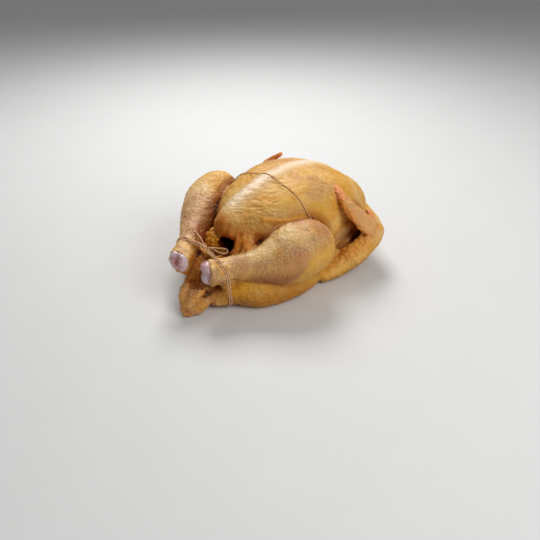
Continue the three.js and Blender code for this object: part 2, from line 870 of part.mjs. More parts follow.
// The mesh with every point moved outwards by a distance.
function grown({ points, triangles }, field, distance) {
  const e = 0.2;
  const moved = points.map(([x, y, z]) => {
    const d = field(x, y, z);
    const g = [field(x + e, y, z) - d, field(x, y + e, z) - d, field(x, y, z + e) - d];
    const size = Math.hypot(...g) || 1;
    return [x, y, z].map((v, i) => v + (distance * g[i]) / size);
  });
  return { points: moved, triangles };
}

// The largest of the bodies that a cut leaves.
function mainBody(solid) {
  return solid.decompose().reduce((x, y) => (y.volume() > x.volume() ? y : x));
}

// ---------------------------------------------------------------- string
// The convex outline of flat points.
function hull(points) {
  const sorted = [...points].sort((a, b) => a[0] - b[0] || a[1] - b[1]);
  const turn = (o, a, b) => (a[0] - o[0]) * (b[1] - o[1]) - (a[1] - o[1]) * (b[0] - o[0]);
  const half = (list) => list.reduce((chain, p) => {
    while (chain.length > 1 && turn(chain.at(-2), chain.at(-1), p) <= 0) chain.pop();
    chain.push(p);
    return chain;
  }, []);
  return [...half(sorted).slice(0, -1), ...half(sorted.reverse()).slice(0, -1)];
}

// The outermost point of a ray that is some clearance away from the field.
function outermost(field, at, centre, ray, clearance) {
  let point = null;
  let reach = 150;
  for (let turn = 0; turn < 120; turn++) {
    point = centre.map((v, i) => v + reach * ray[i]);
    const d = field(point[0], at(...point), point[1]) - clearance;
    if (d < 0.02) break;
    reach -= Math.max(0.6 * d, 0.02);
  }
  return point;
}

// A string pulled tight round a field in a leaning plane y = at(x, z), as points of its centre line.
function tautLoop(field, at, centre, clearance, spacing) {
  const outline = [];
  for (let k = 0; k < HULL_RAYS; k++) {
    const angle = (k / HULL_RAYS) * 2 * Math.PI;
    const ray = [Math.cos(angle), Math.sin(angle)];
    const [x, z] = outermost(field, at, centre, ray, clearance);
    outline.push([x, Math.max(z, REST_LEVEL + STRING_LIFT + STRING_RADIUS)]);
  }
  const ring = hull(outline);
  const path = [];
  ring.forEach(([x, z], i) => {
    const [nx, nz] = ring[(i + 1) % ring.length];
    const steps = Math.max(Math.round(Math.hypot(nx - x, nz - z) / spacing), 1);
    for (let k = 0; k < steps; k++) {
      path.push([x + ((nx - x) * k) / steps, z + ((nz - z) * k) / steps]);
    }
  });
  return evenly(path, spacing).map(([x, z]) => new THREE.Vector3(x, at(x, z), z));
}

// Points of a closed flat path at an even spacing.
function evenly(path, spacing) {
  const out = [path[0]];
  let run = 0;
  for (let i = 1; i < path.length; i++) {
    run += Math.hypot(path[i][0] - path[i - 1][0], path[i][1] - path[i - 1][1]);
    if (run >= spacing) {
      out.push(path[i]);
      run = 0;
    }
  }
  if (run < spacing / 2) out.pop();
  return out;
}

function loopTube(path, radius, segments) {
  const curve = new THREE.CatmullRomCurve3(path, true, "centripetal");
  return new THREE.TubeGeometry(curve, segments, radius, 6, true);
}

// A piece of string with closed ends along a curve through some points.
function stringPiece(path, radius, segments) {
  const section = new THREE.Shape();
  for (let k = 0; k < 6; k++) {
    const angle = (k / 6) * 2 * Math.PI;
    const [x, y] = [radius * Math.cos(angle), radius * Math.sin(angle)];
    if (k) section.lineTo(x, y);
    else section.moveTo(x, y);
  }
  section.closePath();
  const curve = new THREE.CatmullRomCurve3(path.map((p) => new THREE.Vector3(...p)), false, "centripetal");
  return new THREE.ExtrudeGeometry(section, { steps: segments, extrudePath: curve, bevelEnabled: false });
}

// Lifts points that lie too deep until a string laid through them clears the field.
function restOn(path, field, clearance) {
  const e = 0.2;
  return path.map(([x, y, z]) => {
    for (let turn = 0; turn < 8; turn++) {
      const d = field(x, y, z);
      if (d >= clearance) break;
      const g = [field(x + e, y, z) - d, field(x, y + e, z) - d, field(x, y, z + e) - d];
      const size = Math.hypot(...g) || 1;
      [x, y, z] = [x, y, z].map((v, i) => v + ((clearance - d) * g[i]) / size);
    }
    return [x, y, z];
  });
}

// Two turns of string round both shanks and the rump, with a knot and a bow on top.
function legTie(field) {
  const { x, y, z, near, far, leanZ, pitch } = LEG_TIE;
  const clearance = STRING_RADIUS + STRING_LIFT;
  const turns = [-pitch / 2, pitch / 2].map((shift) => {
    const at = (px, pz) => y + shift + (px > x ? near : far) * (px - x) + leanZ * (pz - z);
    return tautLoop(field, at, [5, 38], clearance, 3.5);
  });
  const knot = new THREE.Vector3(4.5, 19.8, 68.8);
  const farBow = [
    [-7.5, 25.7, 71], [-20.3, 29.9, 72], [-28.3, 29.9, 73], [-33.4, 27.5, 73],
    [-31.6, 21.4, 73], [-25.8, 16.1, 73], [-18, 15, 73], [-8, 17.6, 72],
  ];
  const nearBow = [
    [11.5, 24.5, 69], [14.4, 30.6, 67], [17.3, 36.8, 65], [20.6, 38.4, 63],
    [21.9, 34.7, 62], [19.6, 30.1, 63], [13, 25, 67],
  ];
  const ends = [[-3.4, 19.5, 71], [-9, 16.1, 72], [-15, 12.6, 73], [-22, 9.6, 72]];
  const from = knot.toArray();
  const paths = [[from, ...farBow, from], [from, ...nearBow, from], [from, ...ends]];
  return { turns, knot, pieces: paths.map((path) => restOn(path, field, clearance)) };
}

// One turn round the body, over the breast and behind the knees.
function breastTie(field) {
  const { y, z, leanZ } = BREAST_TIE;
  const at = (px, pz) => y + leanZ * Math.min(pz - z, 0);
  return tautLoop(field, at, [0, 60], STRING_RADIUS + STRING_LIFT, 4);
}

function knotSolid(at) {
  const wrap = (turnY, turnZ, radius) => {
    const ring = new THREE.TorusGeometry(radius, 0.95, 6, 12);
    ring.rotateY(turnY);
    ring.rotateZ(turnZ);
    ring.translate(...at.toArray());
    return solidOf(ring);
  };
  const core = new THREE.SphereGeometry(1.7, 10, 6);
  core.translate(...at.toArray());
  return solidOf(core).add(wrap(1.3, 0.5, 1.5)).add(wrap(0.4, 1.2, 1.4));
}

// ---------------------------------------------------------------- assembly
const flesh = bird();
const LOW = [-125, -40, -4];
const HIGH = [125, 275, 136];
const bare = solidOf(geometryOf(modelled(flesh, LOW, HIGH, GRID_STEP, FLESH_TRIANGLES)));

const group = new THREE.Group();

function addMesh(name, solid) {
  const material = new THREE.MeshStandardMaterial({ ...COLOURS[name], metalness: 0 });
  const mesh = new THREE.Mesh(geometryFrom(solid), material);
  mesh.name = name;
  group.add(mesh);
}

// Each bone end sits in a socket of its own shape in the end of the shank.
let chicken = bare;
for (const side of [LEFT, RIGHT]) {
  const field = boneEnd(side);
  const low = BONE_AT[side].map((v) => v - BONE_REACH);
  const high = BONE_AT[side].map((v) => v + BONE_REACH);
  const cap = modelled(field, low, high, 1.5, BONE_TRIANGLES);
  const gristle = solidOf(geometryOf(cap));
  chicken = chicken.subtract(solidOf(geometryOf(grown(cap, field, SOCKET_GAP))).add(gristle));
  addMesh(side === LEFT ? "left_bone_end" : "right_bone_end", gristle);
}

// The strings, and the channels where they press into the skin.
const legString = legTie(flesh);
const breastString = breastTie(torso());
let legSolid = knotSolid(legString.knot);
for (const turn of legString.turns) {
  legSolid = legSolid.add(solidOf(loopTube(turn, STRING_RADIUS, LEG_STEPS)));
  chicken = chicken.subtract(solidOf(loopTube(turn, STRING_RADIUS + STRING_GAP, LEG_STEPS)));
}
for (const piece of legString.pieces) {
  legSolid = legSolid.add(solidOf(stringPiece(piece, STRING_RADIUS, BOW_STEPS)));
  chicken = chicken.subtract(solidOf(stringPiece(piece, STRING_RADIUS + STRING_GAP, BOW_STEPS)));
}
addMesh("leg_tie", legSolid);
addMesh("breast_tie", solidOf(loopTube(breastString, STRING_RADIUS, BREAST_STEPS)));
chicken = chicken.subtract(solidOf(loopTube(breastString, STRING_RADIUS + STRING_GAP, BREAST_STEPS)));

// The back is pressed flat where it rests.
addMesh("chicken", mainBody(chicken.trimByPlane([0, 0, 1], REST_LEVEL)));

// The origin goes under the middle of the bird, on the level that it rests on.
const middle = new THREE.Box3().setFromObject(group).getCenter(new THREE.Vector3());
for (const mesh of group.children) mesh.position.set(-middle.x, -middle.y, -REST_LEVEL);

export default group;
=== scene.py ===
"""A whole raw chicken, trussed with string, lying on its back.

The skin is a distance field (ellipsoid lumps and tapering limbs blended together) turned into a
mesh, then given pores, wrinkles, fat and colour. Sizes are in millimetres, measured from the
ankles (Y = 0) and the middle of the breast (X = 0); ORIGIN says where the part's own origin is.
"""
import math
from types import SimpleNamespace

import bpy
import numpy as np
import openvdb
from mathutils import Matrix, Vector, kdtree


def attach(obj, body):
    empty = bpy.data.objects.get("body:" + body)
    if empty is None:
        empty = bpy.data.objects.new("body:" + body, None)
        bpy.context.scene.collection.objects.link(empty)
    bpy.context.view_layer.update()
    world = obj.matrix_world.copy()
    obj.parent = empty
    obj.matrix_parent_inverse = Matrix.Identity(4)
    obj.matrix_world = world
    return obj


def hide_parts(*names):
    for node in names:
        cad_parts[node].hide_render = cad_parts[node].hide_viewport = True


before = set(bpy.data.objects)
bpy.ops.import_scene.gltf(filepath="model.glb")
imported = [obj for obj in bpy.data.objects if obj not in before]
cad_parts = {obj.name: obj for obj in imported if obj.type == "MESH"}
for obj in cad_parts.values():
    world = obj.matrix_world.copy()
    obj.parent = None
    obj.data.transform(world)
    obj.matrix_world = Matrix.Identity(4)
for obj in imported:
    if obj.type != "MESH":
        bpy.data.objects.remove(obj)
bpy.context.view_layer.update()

# ---- sizes
MM = 0.001
ORIGIN = np.array([-3.817, 122.766, 0.25])
LEFT, RIGHT = 1, -1
FAT_LUMP = (-7.5, 49, 62)

BODY_LENGTH = 212
BODY_WIDTH = 128
BREAST_TOP = 118
BREAST_RADIUS = 48
CALF_RADIUS = 33.5
SHANK_RADIUS = 13.8
WING_RADIUS = 13.4
WING_LEAF = 0.55
CAVITY_RADIUS = 14
UNDERSIDE_ROUNDING = 4
STRING_RADIUS = 0.75
STRING_LIFT = 0.45
# the plane of a string: y at (x, z), its slopes from there, and the middle it is pulled round
LEG_TIE = {"x": 5, "y": 20.2, "z": 67, "near": -0.2, "far": 0.2, "lean_z": -0.16, "pitch": 2.4,
           "middle": (5, 38)}
BREAST_TIE = {"y": 123, "z": 92, "lean_z": -0.42, "middle": (0, 60)}

STRING_STEP = 0.8
HAIRS_PER_STEP = 0.35
HAIR_RADIUS = 0.05
TWIST_PITCH = 4.2
LINE_STEP = 1.5
STRING_REACH = 12

SKIN_BOX = ((-125, -45, -6), (125, 275, 150))
BODY_VOXEL = 2.4
BONE_REACH = 16
BONE_VOXEL = 1.0
PORE_SPACING = 5.0

# the camera stands in the bird's millimetres, the lights in the part's metres
CAMERA_AT = (416.9, -306.0, 379.0)
CAMERA_LOOK = (-0.5819, 0.6026, -0.5461)
CAMERA_LENS = 37.47
SENSOR = 36
CAMERA_NEAR = 0.01
LIGHT_AIM = (0, 0, 0.05)
LIGHTS = (("key", (-0.55, 0.45, 0.95), 0.55, 10.5), ("fill", (0.95, 0.0, 0.85), 0.8, 7.2))
WORLD_LIGHT = 0.22
FLOOR_SIZE = 6

F = np.float32
RNG = np.random.default_rng(7)


# ---- distance field tools
def join(a, b, k):
    h = np.maximum(k - np.abs(a - b), 0) / k
    return np.minimum(a, b) - h * h * h * (k / 6)


def carve(a, b, k):
    return -join(-a, b, k)


def blended(first, *steps):
    """One field from several: each next one is joined on with a blend k, or carved out by -k."""
    def field(p):
        d = first(p)
        for part, k in steps:
            d = join(d, part(p), k) if k > 0 else carve(d, part(p), -k)
        return d
    return field


def culled(centre, reach, exact, margin=26):
    """A field that is worked out only near its own ball, and is the way to the ball elsewhere."""
    centre = np.array(centre, F)

    def distance(p):
        out = np.sqrt(((p - centre) ** 2).sum(-1)) - F(reach)
        near = out < margin
        if near.any():
            out[near] = exact(p[near])
        return out
    return distance


def lump(centre, radii, turn=0):
    """An ellipsoid, turned about Z by some degrees."""
    c, s = math.cos(math.radians(turn)), math.sin(math.radians(turn))
    centre, radii = np.array(centre, F), np.array(radii, F)
    turned = np.array([[c, -s, 0], [s, c, 0], [0, 0, 1]], F)

    def exact(p):
        q = ((p - centre) @ turned) / radii
        k0 = np.sqrt((q * q).sum(-1))
        k1 = np.sqrt(((q / radii) ** 2).sum(-1)) + 1e-6
        return k0 * (k0 - 1) / k1
    return culled(centre, radii.max() + 6, exact)


def spans(stations):
    """The cubic of each span of a Catmull-Rom curve through points or (x, y, z, radius)."""
    p = np.array(stations, float)
    p = np.vstack([2 * p[0] - p[1], p, 2 * p[-1] - p[-2]])
    a, b, c, d = p[:-3], p[1:-2], p[2:-1], p[3:]
    powers = [b, (c - a) / 2, a - 2.5 * b + 2 * c - d / 2, (3 * b - a - 3 * c + d) / 2]
    return np.stack(powers, 1).astype(F)


def on_curve(curve, u):
    """The stations of a curve at some distances along it, and how fast they change there."""
    k = np.minimum(u.astype(int), len(curve) - 1)
    t = (u - k)[:, None].astype(F)
    q = curve[k]
    station = q[:, 0] + t * (q[:, 1] + t * (q[:, 2] + t * q[:, 3]))
    return station, q[:, 1] + t * (2 * q[:, 2] + t * 3 * q[:, 3])


def nearest(curve, p, steps):
    """The place on a curve nearest to each point, refined from the nearest chord."""
    count = len(curve) * steps
    u = np.linspace(0, len(curve), count + 1)
    ends = on_curve(curve, u)[0][:, :3]
    best = np.full(len(p), 1e12, F)
    place = np.zeros(len(p), F)
    for i in range(count):
        along = ends[i + 1] - ends[i]
        q = p - ends[i]
        t = np.clip((q @ along) / max(float(along @ along), 1e-6), 0, 1)
        gap = ((q - t[:, None] * along) ** 2).sum(-1)
        closer = gap < best
        best = np.where(closer, gap, best)
        place = np.where(closer, F(u[i]) + t / F(steps), place)
    for _ in range(2):
        station, slope = (v[:, :3] for v in on_curve(curve, place))
        place = place + ((p - station) * slope).sum(-1) / ((slope * slope).sum(-1) + 1e-6)
        place = np.clip(place, 0, len(curve))
    return place


def limb(stations, steps=2):
    """A round tapering limb along a smooth curve through stations (x, y, z, radius)."""
    curve = spans(stations)
    line = on_curve(curve, np.linspace(0, len(curve), 24))[0]
    centre = (line[:, :3].min(0) + line[:, :3].max(0)) / 2
    reach = (np.sqrt(((line[:, :3] - centre) ** 2).sum(-1)) + line[:, 3]).max() + 6

    def exact(p):
        e = on_curve(curve, nearest(curve, p, steps))[0]
        return np.sqrt(((p - e[:, :3]) ** 2).sum(-1)) - e[:, 3]
    return culled(centre, reach, exact)


def leaf(stations, direction, factor, steps=1):
    """A limb squeezed flat across a direction by a factor."""
    n = np.array(direction, float)
    n /= np.linalg.norm(n)
    rows = np.array(stations, float)
    middle = rows[:, :3].mean(0)
    stretch = np.eye(3) + (1 / factor - 1) * np.outer(n, n)
    rows[:, :3] = (rows[:, :3] - middle) @ stretch + middle
    whole = limb(rows, steps)
    m, stretch = middle.astype(F), stretch.astype(F)
    return lambda p: whole((p - m) @ stretch + m)


def mirror(stations, side):
    return [(x * side, *rest) for x, *rest in stations]


# ---- the parts of the bird
def torso():
    """Two breast muscles on a keel, over ribs and back, with a skin flap over the neck opening."""
    half = BODY_WIDTH / 2
    ribs = lump((0, 148, 38), (half, BODY_LENGTH / 2, 46))
    tips = {LEFT: (7, 64, 74, 19), RIGHT: (2, 66, 75, 16.5)}
    breasts = [limb(mirror([
        tips[side], (15, 98, 72, 34.5), (21, 142, 68, BREAST_RADIUS), (22, 192, 62, BREAST_RADIUS),
        (18, 228, 50, 38),
    ], side)) for side in (LEFT, RIGHT)]
    keel = limb([
        (2, 54, 82, 9), (0, 84, 98, 11), (0, 140, BREAST_TOP - 12, 12), (0, 200, 96, 14),
        (0, 238, 64, 18),
    ])
    shoulders = lump((2, 212, 46), (half + 4, 48, 44))
    neck_skin = limb([
        (-40, 238, 60, 9), (-24, 251, 48, 9), (0, 257, 41, 10), (26, 251, 48, 9), (42, 238, 60, 9),
    ])
    neck_fold = limb([
        (-30, 247, 40, 2.5), (-16, 256, 32, 3.5), (2, 260, 28, 4), (18, 256, 32, 3.5),
        (32, 247, 40, 2.5),
    ])
    return blended(ribs, (breasts[0], 18), (breasts[1], 18), (keel, 24), (shoulders, 22),
                   (neck_skin, 10), (neck_fold, -3))


def tail():
    """A cupped upper face between two rims, a blunt lower lobe and a cheek beside it."""
    root = limb([(0, 50, 26, 22), (3, 28, 22, 17), (8, 12, 14, 10), (12, 0, 11, 6)])
    lobe = limb([
        (21.5, 1.5, 14.5, 6.5), (18.5, -4, 12, 8.5), (15, -10.5, 9.5, 8), (12, -15.6, 6, 5.8),
    ])
    cup = limb([(6, 4, 21.5, 9.5), (9, -5, 18.2, 9), (10, -12, 12, 7.6)])
    far_rim = limb([
        (-3, 3, 30, 5), (0.2, -6, 28, 4.6), (1.6, -12.6, 25, 4.4), (4.5, -16, 20, 4.3),
        (7.4, -17.5, 13, 4.2), (10, -17.6, 6, 4.8),
    ])
    near_rim = limb([(20.5, 7, 27, 3), (18, -2, 25, 3.4), (15, -9.6, 21, 3.9), (12, -16, 15, 4.4)])
    cheek = limb([
        (36, 40, 20, 13), (32, 29, 19, 9.5), (29, 21.6, 14, 9), (23, 17, 12.5, 8), (19, 12, 14, 6),
    ])
    pit = lump((23.4, 5, 26.8), (3.6, 3.6, 4.4))
    return blended(root, (lobe, 6), (cup, 5), (far_rim, 4), (near_rim, 4), (cheek, 3), (pit, -2))


def curtains():
    """Skin that hangs from the tip of the breast on both sides of the opening."""
    left = limb([(8, 60, 78, 10), (20, 55, 66, 8), (28, 44, 52, 8), (29, 27, 35, 9)])
    web = limb([(14, 66, 70, 14), (32, 58, 60, 11), (44, 48, 48, 10)])
    right = limb([(-3, 62, 74, 9), (-15, 54, 60, 10), (-20, 38, 47, 10.5), (-14, 14, 34, 9)])
    fat = lump(FAT_LUMP, (12.5, 13, 15))
    lip = limb([(-14, 30, 50, 6), (-2, 28.5, 52, 4.8), (13, 31, 53, 5)])
    wall = limb([(-9, 23, 43, 8.5), (-5, 12, 37, 9.5), (0, 4, 29, 8)])
    near = blended(left, (web, 6))
    far = blended(right, (lip, 4), (wall, 5), (fat, 4))
    return lambda p: np.minimum(near(p), far(p))


def cavity():
    """The way into the body, open towards the tail between the two shanks."""
    inner = CAVITY_RADIUS
    return limb([(9, 30, 62, 5.5), (11, 47, 64, 9.5), (6, 66, 62, inner), (0, 84, 60, inner)])


def vent():
    """The hollow between the tail and the wall below the opening."""
    return limb([(1, 0, 31, 3), (6, 1, 30.5, 4.5), (12, 3, 29.5, 3)])


def thigh(side):
    """The thigh, its knee, and the roll of skin that it rests on."""
    left = side == LEFT
    meat = lump((42 * side, 84, 30), (34, 56, 30), -16 * side)
    knee = lump((60, 114, 40), (28, 32, 32)) if left else lump((-68, 112, 54), (31, 31, 34))
    start = [(20, 18, 13, 9), (28, 32, 13, 11)]
    left_roll = [
        (45, 45, 15.5, 14.5), (56, 54, 14, 13.5), (65, 73, 13.5, 13), (69.5, 96, 15.5, 14.5),
        (66.5, 117, 18, 17.5), (61, 136, 18, 16),
    ]
    right_roll = [
        (45, 45, 17, 14.5), (58, 56, 18, 15), (69, 76, 22, 17), (77, 98, 32, 20), (82, 116, 50, 22),
        (80, 122, 64, 20),
    ]
    roll = limb(mirror(start + (left_roll if left else right_roll), side))
    return blended(meat, (knee, 12), (roll, 8))


DRUMSTICKS = {
    LEFT: [
        (72, 110, 59, 31), (66, 94, 55, CALF_RADIUS), (60, 76, 51.5, 29), (53, 58, 51, 20.5),
        (45, 44, 51, 15.5), (38, 32, 51, SHANK_RADIUS), (32, 20, 50.2, SHANK_RADIUS),
        (28, 15, 49.8, 13.4),
    ],
    RIGHT: [
        (-84.5, 117, 70, 28.5), (-78, 94.5, 67, 28), (-64.4, 73.7, 64, 25), (-51, 55, 61, 20),
        (-35.5, 35, 59, 14.8), (-24, 18.5, 58.2, 12), (-14.5, 4.5, 57.2, 13), (-9, -3, 56, 12.2),
    ],
}


def drumstick(side):
    """The drumstick, from the knee to the ankle; the right one is lifted and spread."""
    return limb(DRUMSTICKS[side], 1)


def leg_crease(side):
    """The crease between drumstick and thigh, on the right leg higher and further out."""
    lift, spread = (0, 1) if side == LEFT else (4, 1.04)
    path = [
        (26, 30, 34, 1.5), (41, 47, 31, 2.5), (58, 60, 25, 2.4), (70.5, 77, 25, 1.6),
        (77.5, 95, 27, 2.6), (80, 111, 33, 2.5), (80, 127, 41, 1),
    ]
    return limb([(x * spread * side, y, z + lift, r) for x, y, z, r in path])


def far_fold():
    """The crease between the right drumstick and the tip of the breast."""
    return limb([
        (-19, 36, 60, 4), (-21, 46, 67, 5), (-26, 56, 77, 4.4), (-34, 68, 87, 3),
        (-46, 88, 94, 1.8),
    ])


def under_tip():
    """The crease between the tip of the breast and the lump of fat below it."""
    return limb([(-27, 56, 77, 4), (-14, 46, 77, 3.6), (-3, 41, 75.5, 3.4), (8, 38, 69, 4)])


def knee_fold(side):
    """The fold between the knee and the side of the breast, where the breast string runs."""
    return limb(mirror([
        (64, 125, 86, 1.5), (69, 132, 72, 3.5), (70, 139, 56, 4), (67, 146, 38, 3.5),
        (62, 154, 20, 2),
    ], side))


HANDS = {
    LEFT: [
        (93, 209, 48, 11), (88.8, 195.3, 62, 10.9), (84, 185.3, 74, 9.9), (78.3, 178.8, 83, 8.6),
        (71, 176.4, 91, 6.8), (63, 177.4, 97, 5.1), (55.5, 180.2, 101, 3.2),
    ],
    RIGHT: [
        (93, 212, 48, 11), (90, 208, 62, 10.9), (86, 205, 75, 9.9), (80, 204, 86, 8.6),
        (72, 204, 94, 6.8), (64, 204, 100, 5), (57, 204, 105, 3.4),
    ],
}


def hand(side):
    """The flat hand of a wing, from the wrist to its tip; the left one lies nearer the tail."""
    return leaf(mirror(HANDS[side], side), (side, -0.1, 0.55), WING_LEAF)


def forearm(side):
    return limb(mirror([
        (76.6, 137, 10, 8), (81, 155, 13, 10.5), (83, 169, 17, 12.2),
        (87.7, 180.6, 24, WING_RADIUS), (90.1, 194, 31, WING_RADIUS), (92.2, 206, 39, 13),
        (92.8, 212, 45, 11.6),
    ], side), 1)


def wing(side):
    """Upper arm, forearm, hand, thumb and the web of skin at the shoulder."""
    upper = limb(mirror([
        (54, 208, 34, 20), (60, 184, 24, 15), (66, 160, 17, 12), (70, 144, 13, 11),
    ], side))
    lower = forearm(side)
    flat = hand(side)
    thumb = limb(mirror([(91, 214, 56, 4.8), (87.5, 210, 64, 4.4), (83, 208.5, 70.5, 3.4)], side))
    web = limb(mirror([(56, 236, 50, 12), (74, 232, 46, 9), (88, 222, 44, 9)], side))
    armpit = lump((60 * side, 222, 36), (22, 18, 22))
    return blended(upper, (lower, 5), (web, 6), (armpit, 12), (flat, 2.5), (thumb, 3))


def wing_fold(side):
    """The deep fold between the forearm and the side of the breast."""
    return limb(mirror([
        (66, 166, 25, 3), (70, 178, 31, 4.5), (74, 188, 38, 6), (79, 196, 46, 7),
    ], side))


def bird():
    """The whole bird before the string presses into it."""
    steps = [(tail(), 8), (curtains(), 8), (thigh(LEFT), 10), (thigh(RIGHT), 10),
             (cavity(), -5), (vent(), -7), (far_fold(), -4), (under_tip(), -3)]
    for side in (LEFT, RIGHT):
        leg = blended(drumstick(side), (ankle_mouth(side), -2))
        steps += [(leg, 5), (leg_crease(side), -4), (knee_fold(side), -3),
                  (wing(side), 4), (wing_fold(side), -3)]
    steps.append((lambda p: p[:, 2], -UNDERSIDE_ROUNDING))
    return blended(torso(), *steps)


# ---- from field to mesh
def in_parts(field, p, size=60000):
    """A field's values, worked out for some of the points at a time to save memory."""
    return np.concatenate([field(p[i:i + size]) for i in range(0, len(p), size)])


def gradient(field, p, e=0.3):
    """A field's values and its slopes along X, Y and Z."""
    d = in_parts(field, p)
    g = [in_parts(field, p + F(e) * np.eye(3, dtype=F)[i]) - d for i in range(3)]
    return d, np.stack(g, -1) / e


def narrow_band(field, low, count, voxel, block=4):
    """Field values on a grid, worked out exactly only in the blocks near the surface."""
    blocks = -(-count // block)
    homes = np.indices(blocks).reshape(3, -1).T
    middles = (low + (homes * block + (block - 1) / 2) * voxel).astype(F)
    coarse = in_parts(field, middles)
    values = np.kron(coarse.reshape(blocks), np.ones((block,) * 3, F))
    near = np.abs(coarse) < voxel * block * 1.4 + voxel * 1.5
    offsets = np.indices((block,) * 3).reshape(3, -1).T
    fine = (homes[near][:, None] * block + offsets).reshape(-1, 3)
    values[tuple(fine.T)] = in_parts(field, (low + fine * voxel).astype(F))
    return values


def largest_shell(points, quads):
    """Only the quads that hang together with the most others."""
    label = np.arange(len(points))
    while True:
        low = label[quads].min(1)
        new = label.copy()
        for corner in range(4):
            np.minimum.at(new, quads[:, corner], low)
        new = new[new]
        if (new == label).all():
            break
        label = new
    names, counts = np.unique(label[quads[:, 0]], return_counts=True)
    quads = quads[label[quads[:, 0]] == names[counts.argmax()]]
    used = np.unique(quads)
    index = np.full(len(points), -1)
    index[used] = np.arange(len(used))
    return points[used], index[quads]


def pulled(p, d, g, reach=1.5):
    """Points moved along the slope towards the field's zero surface, by a reach at most."""
    pull = np.clip(d / np.maximum((g * g).sum(-1), 0.2), -reach, reach)
    return (p - pull[:, None] * g).astype(F)


def settle(field, p, rounds=1):
    for _ in range(rounds):
        p = pulled(p, *gradient(field, p))
    return p


def unit(g):
    return g / np.maximum(np.linalg.norm(g, axis=1), 1e-6)[:, None]


def surface(field, low, high, voxel):
    """The field's zero surface as quads on it."""
    low, high = np.array(low, float), np.array(high, float)
    count = np.ceil((high - low) / voxel).astype(int) + 1
    values = narrow_band(field, low, count, voxel)
    band = 3 * voxel
    grid = openvdb.FloatGrid(band)
    grid.copyFromArray(np.clip(values, -band, band).astype(F), tolerance=0)
    points, quads = grid.convertToQuads()
    points, quads = largest_shell(low + points * voxel, quads[:, ::-1].astype(int))
    return settle(field, points.astype(F), 2), quads


def add_object(name, data, at=(0, 0, 0), facing=None):
    """Puts data into the scene, for a camera or a light with the way that it faces."""
    made = bpy.data.objects.new(name, data)
    bpy.context.scene.collection.objects.link(made)
    made.location = at
    if facing:
        made.rotation_euler = Vector(facing).to_track_quat("-Z", "Y").to_euler()
    return made


def subdivided(points, quads):
    """One level of Catmull-Clark, by Blender's own modifier."""
    mesh = bpy.data.meshes.new("subdivision")
    mesh.from_pydata(points.tolist(), [], quads.tolist())
    helper = add_object("subdivision", mesh)
    helper.modifiers.new("subdivision", "SUBSURF").levels = 1
    done = helper.evaluated_get(bpy.context.evaluated_depsgraph_get()).data
    fine = np.zeros(len(done.vertices) * 3, F)
    done.vertices.foreach_get("co", fine)
    corners = np.zeros(len(done.loops), np.int32)
    done.loops.foreach_get("vertex_index", corners)
    bpy.data.objects.remove(helper)
    bpy.data.meshes.remove(mesh)
    return fine.reshape(-1, 3), corners.reshape(-1, 4)


# ---- noise and masks
def step(low, high, x):
    """0 below low, 1 above high and smooth between them; the other way round if low > high."""
    t = np.clip((x - low) / (high - low), 0, 1)
    return t * t * (3 - 2 * t)


def bell(x, width):
    """1 at zero, falling off smoothly on both sides by a width."""
    return np.exp(-(x / width) ** 2)


def most(*masks):
    """The greatest of some masks at each point."""
    return np.maximum.reduce(masks)


def lattice(cell, seed):
    """A number from 0 to 1 for each whole-numbered cell."""
    x, y, z = (cell[..., i].astype(np.int64) for i in range(3))
    h = (x * 73856093) ^ (y * 19349663) ^ (z * 83492791) ^ (seed * 2654435761)
    h = (h ^ (h >> 13)) * 1274126177 & 0xFFFFFFFF
    h = (h ^ (h >> 16)) * 2246822519 & 0xFFFFFFFF
    return ((h ^ (h >> 15)) & 0xFFFFFF) / float(0xFFFFFF)


def noise(p, size, seed=0):
    """Smooth noise from -1 to 1 with features of some size; size may differ along X, Y and Z."""
    q = p / np.array(size)
    base = np.floor(q)
    t = q - base
    t = t * t * (3 - 2 * t)
    out = 0
    for corner in np.ndindex(2, 2, 2):
        weight = np.prod(np.where(np.array(corner) == 1, t, 1 - t), -1)
        out = out + weight * lattice(base + np.array(corner), seed)
    return 2 * out - 1


def cells(p, size, seed=0):
    """Distance to the nearest and second nearest of scattered points, in cell sizes."""
    q = p / np.array(size)
    base = np.floor(q)
    first = np.full(len(p), 9.0)
    second = np.full(len(p), 9.0)
    for shift in np.ndindex(3, 3, 3):
        cell = base + np.array(shift) - 1
        jitter = np.stack([lattice(cell, seed + 11 * k) for k in (1, 2, 3)], -1)
        d = np.sqrt(((cell + jitter - q) ** 2).sum(-1))
        second = np.minimum(np.maximum(first, d), second)
        first = np.minimum(first, d)
    return first, second


def near_point(p, centre, radii, core=0.5):
    """1 round a point out to a core share of its radii, fading to 0 at the radii."""
    q = (p - np.array(centre)) / np.array(radii)
    return 1 - step(core, 1, np.sqrt((q * q).sum(-1)))


def tree_of(points):
    tree = kdtree.KDTree(len(points))
    for i, point in enumerate(points):
        tree.insert(point, i)
    tree.balance()
    return tree


def beside(p, path, reach):
    """Which points lie in a path's box, grown by a reach."""
    low, high = np.min(path, 0) - reach, np.max(path, 0) + reach
    return np.nonzero(((p > low) & (p < high)).all(1))[0]


def near_line(p, path, reach):
    """Distance from each point to a path of closely set points, or the reach if that is less."""
    tree = tree_of(path)
    out = np.full(len(p), float(reach))
    for i in beside(p, path, reach):
        out[i] = min(tree.find(p[i])[2], reach)
    return out


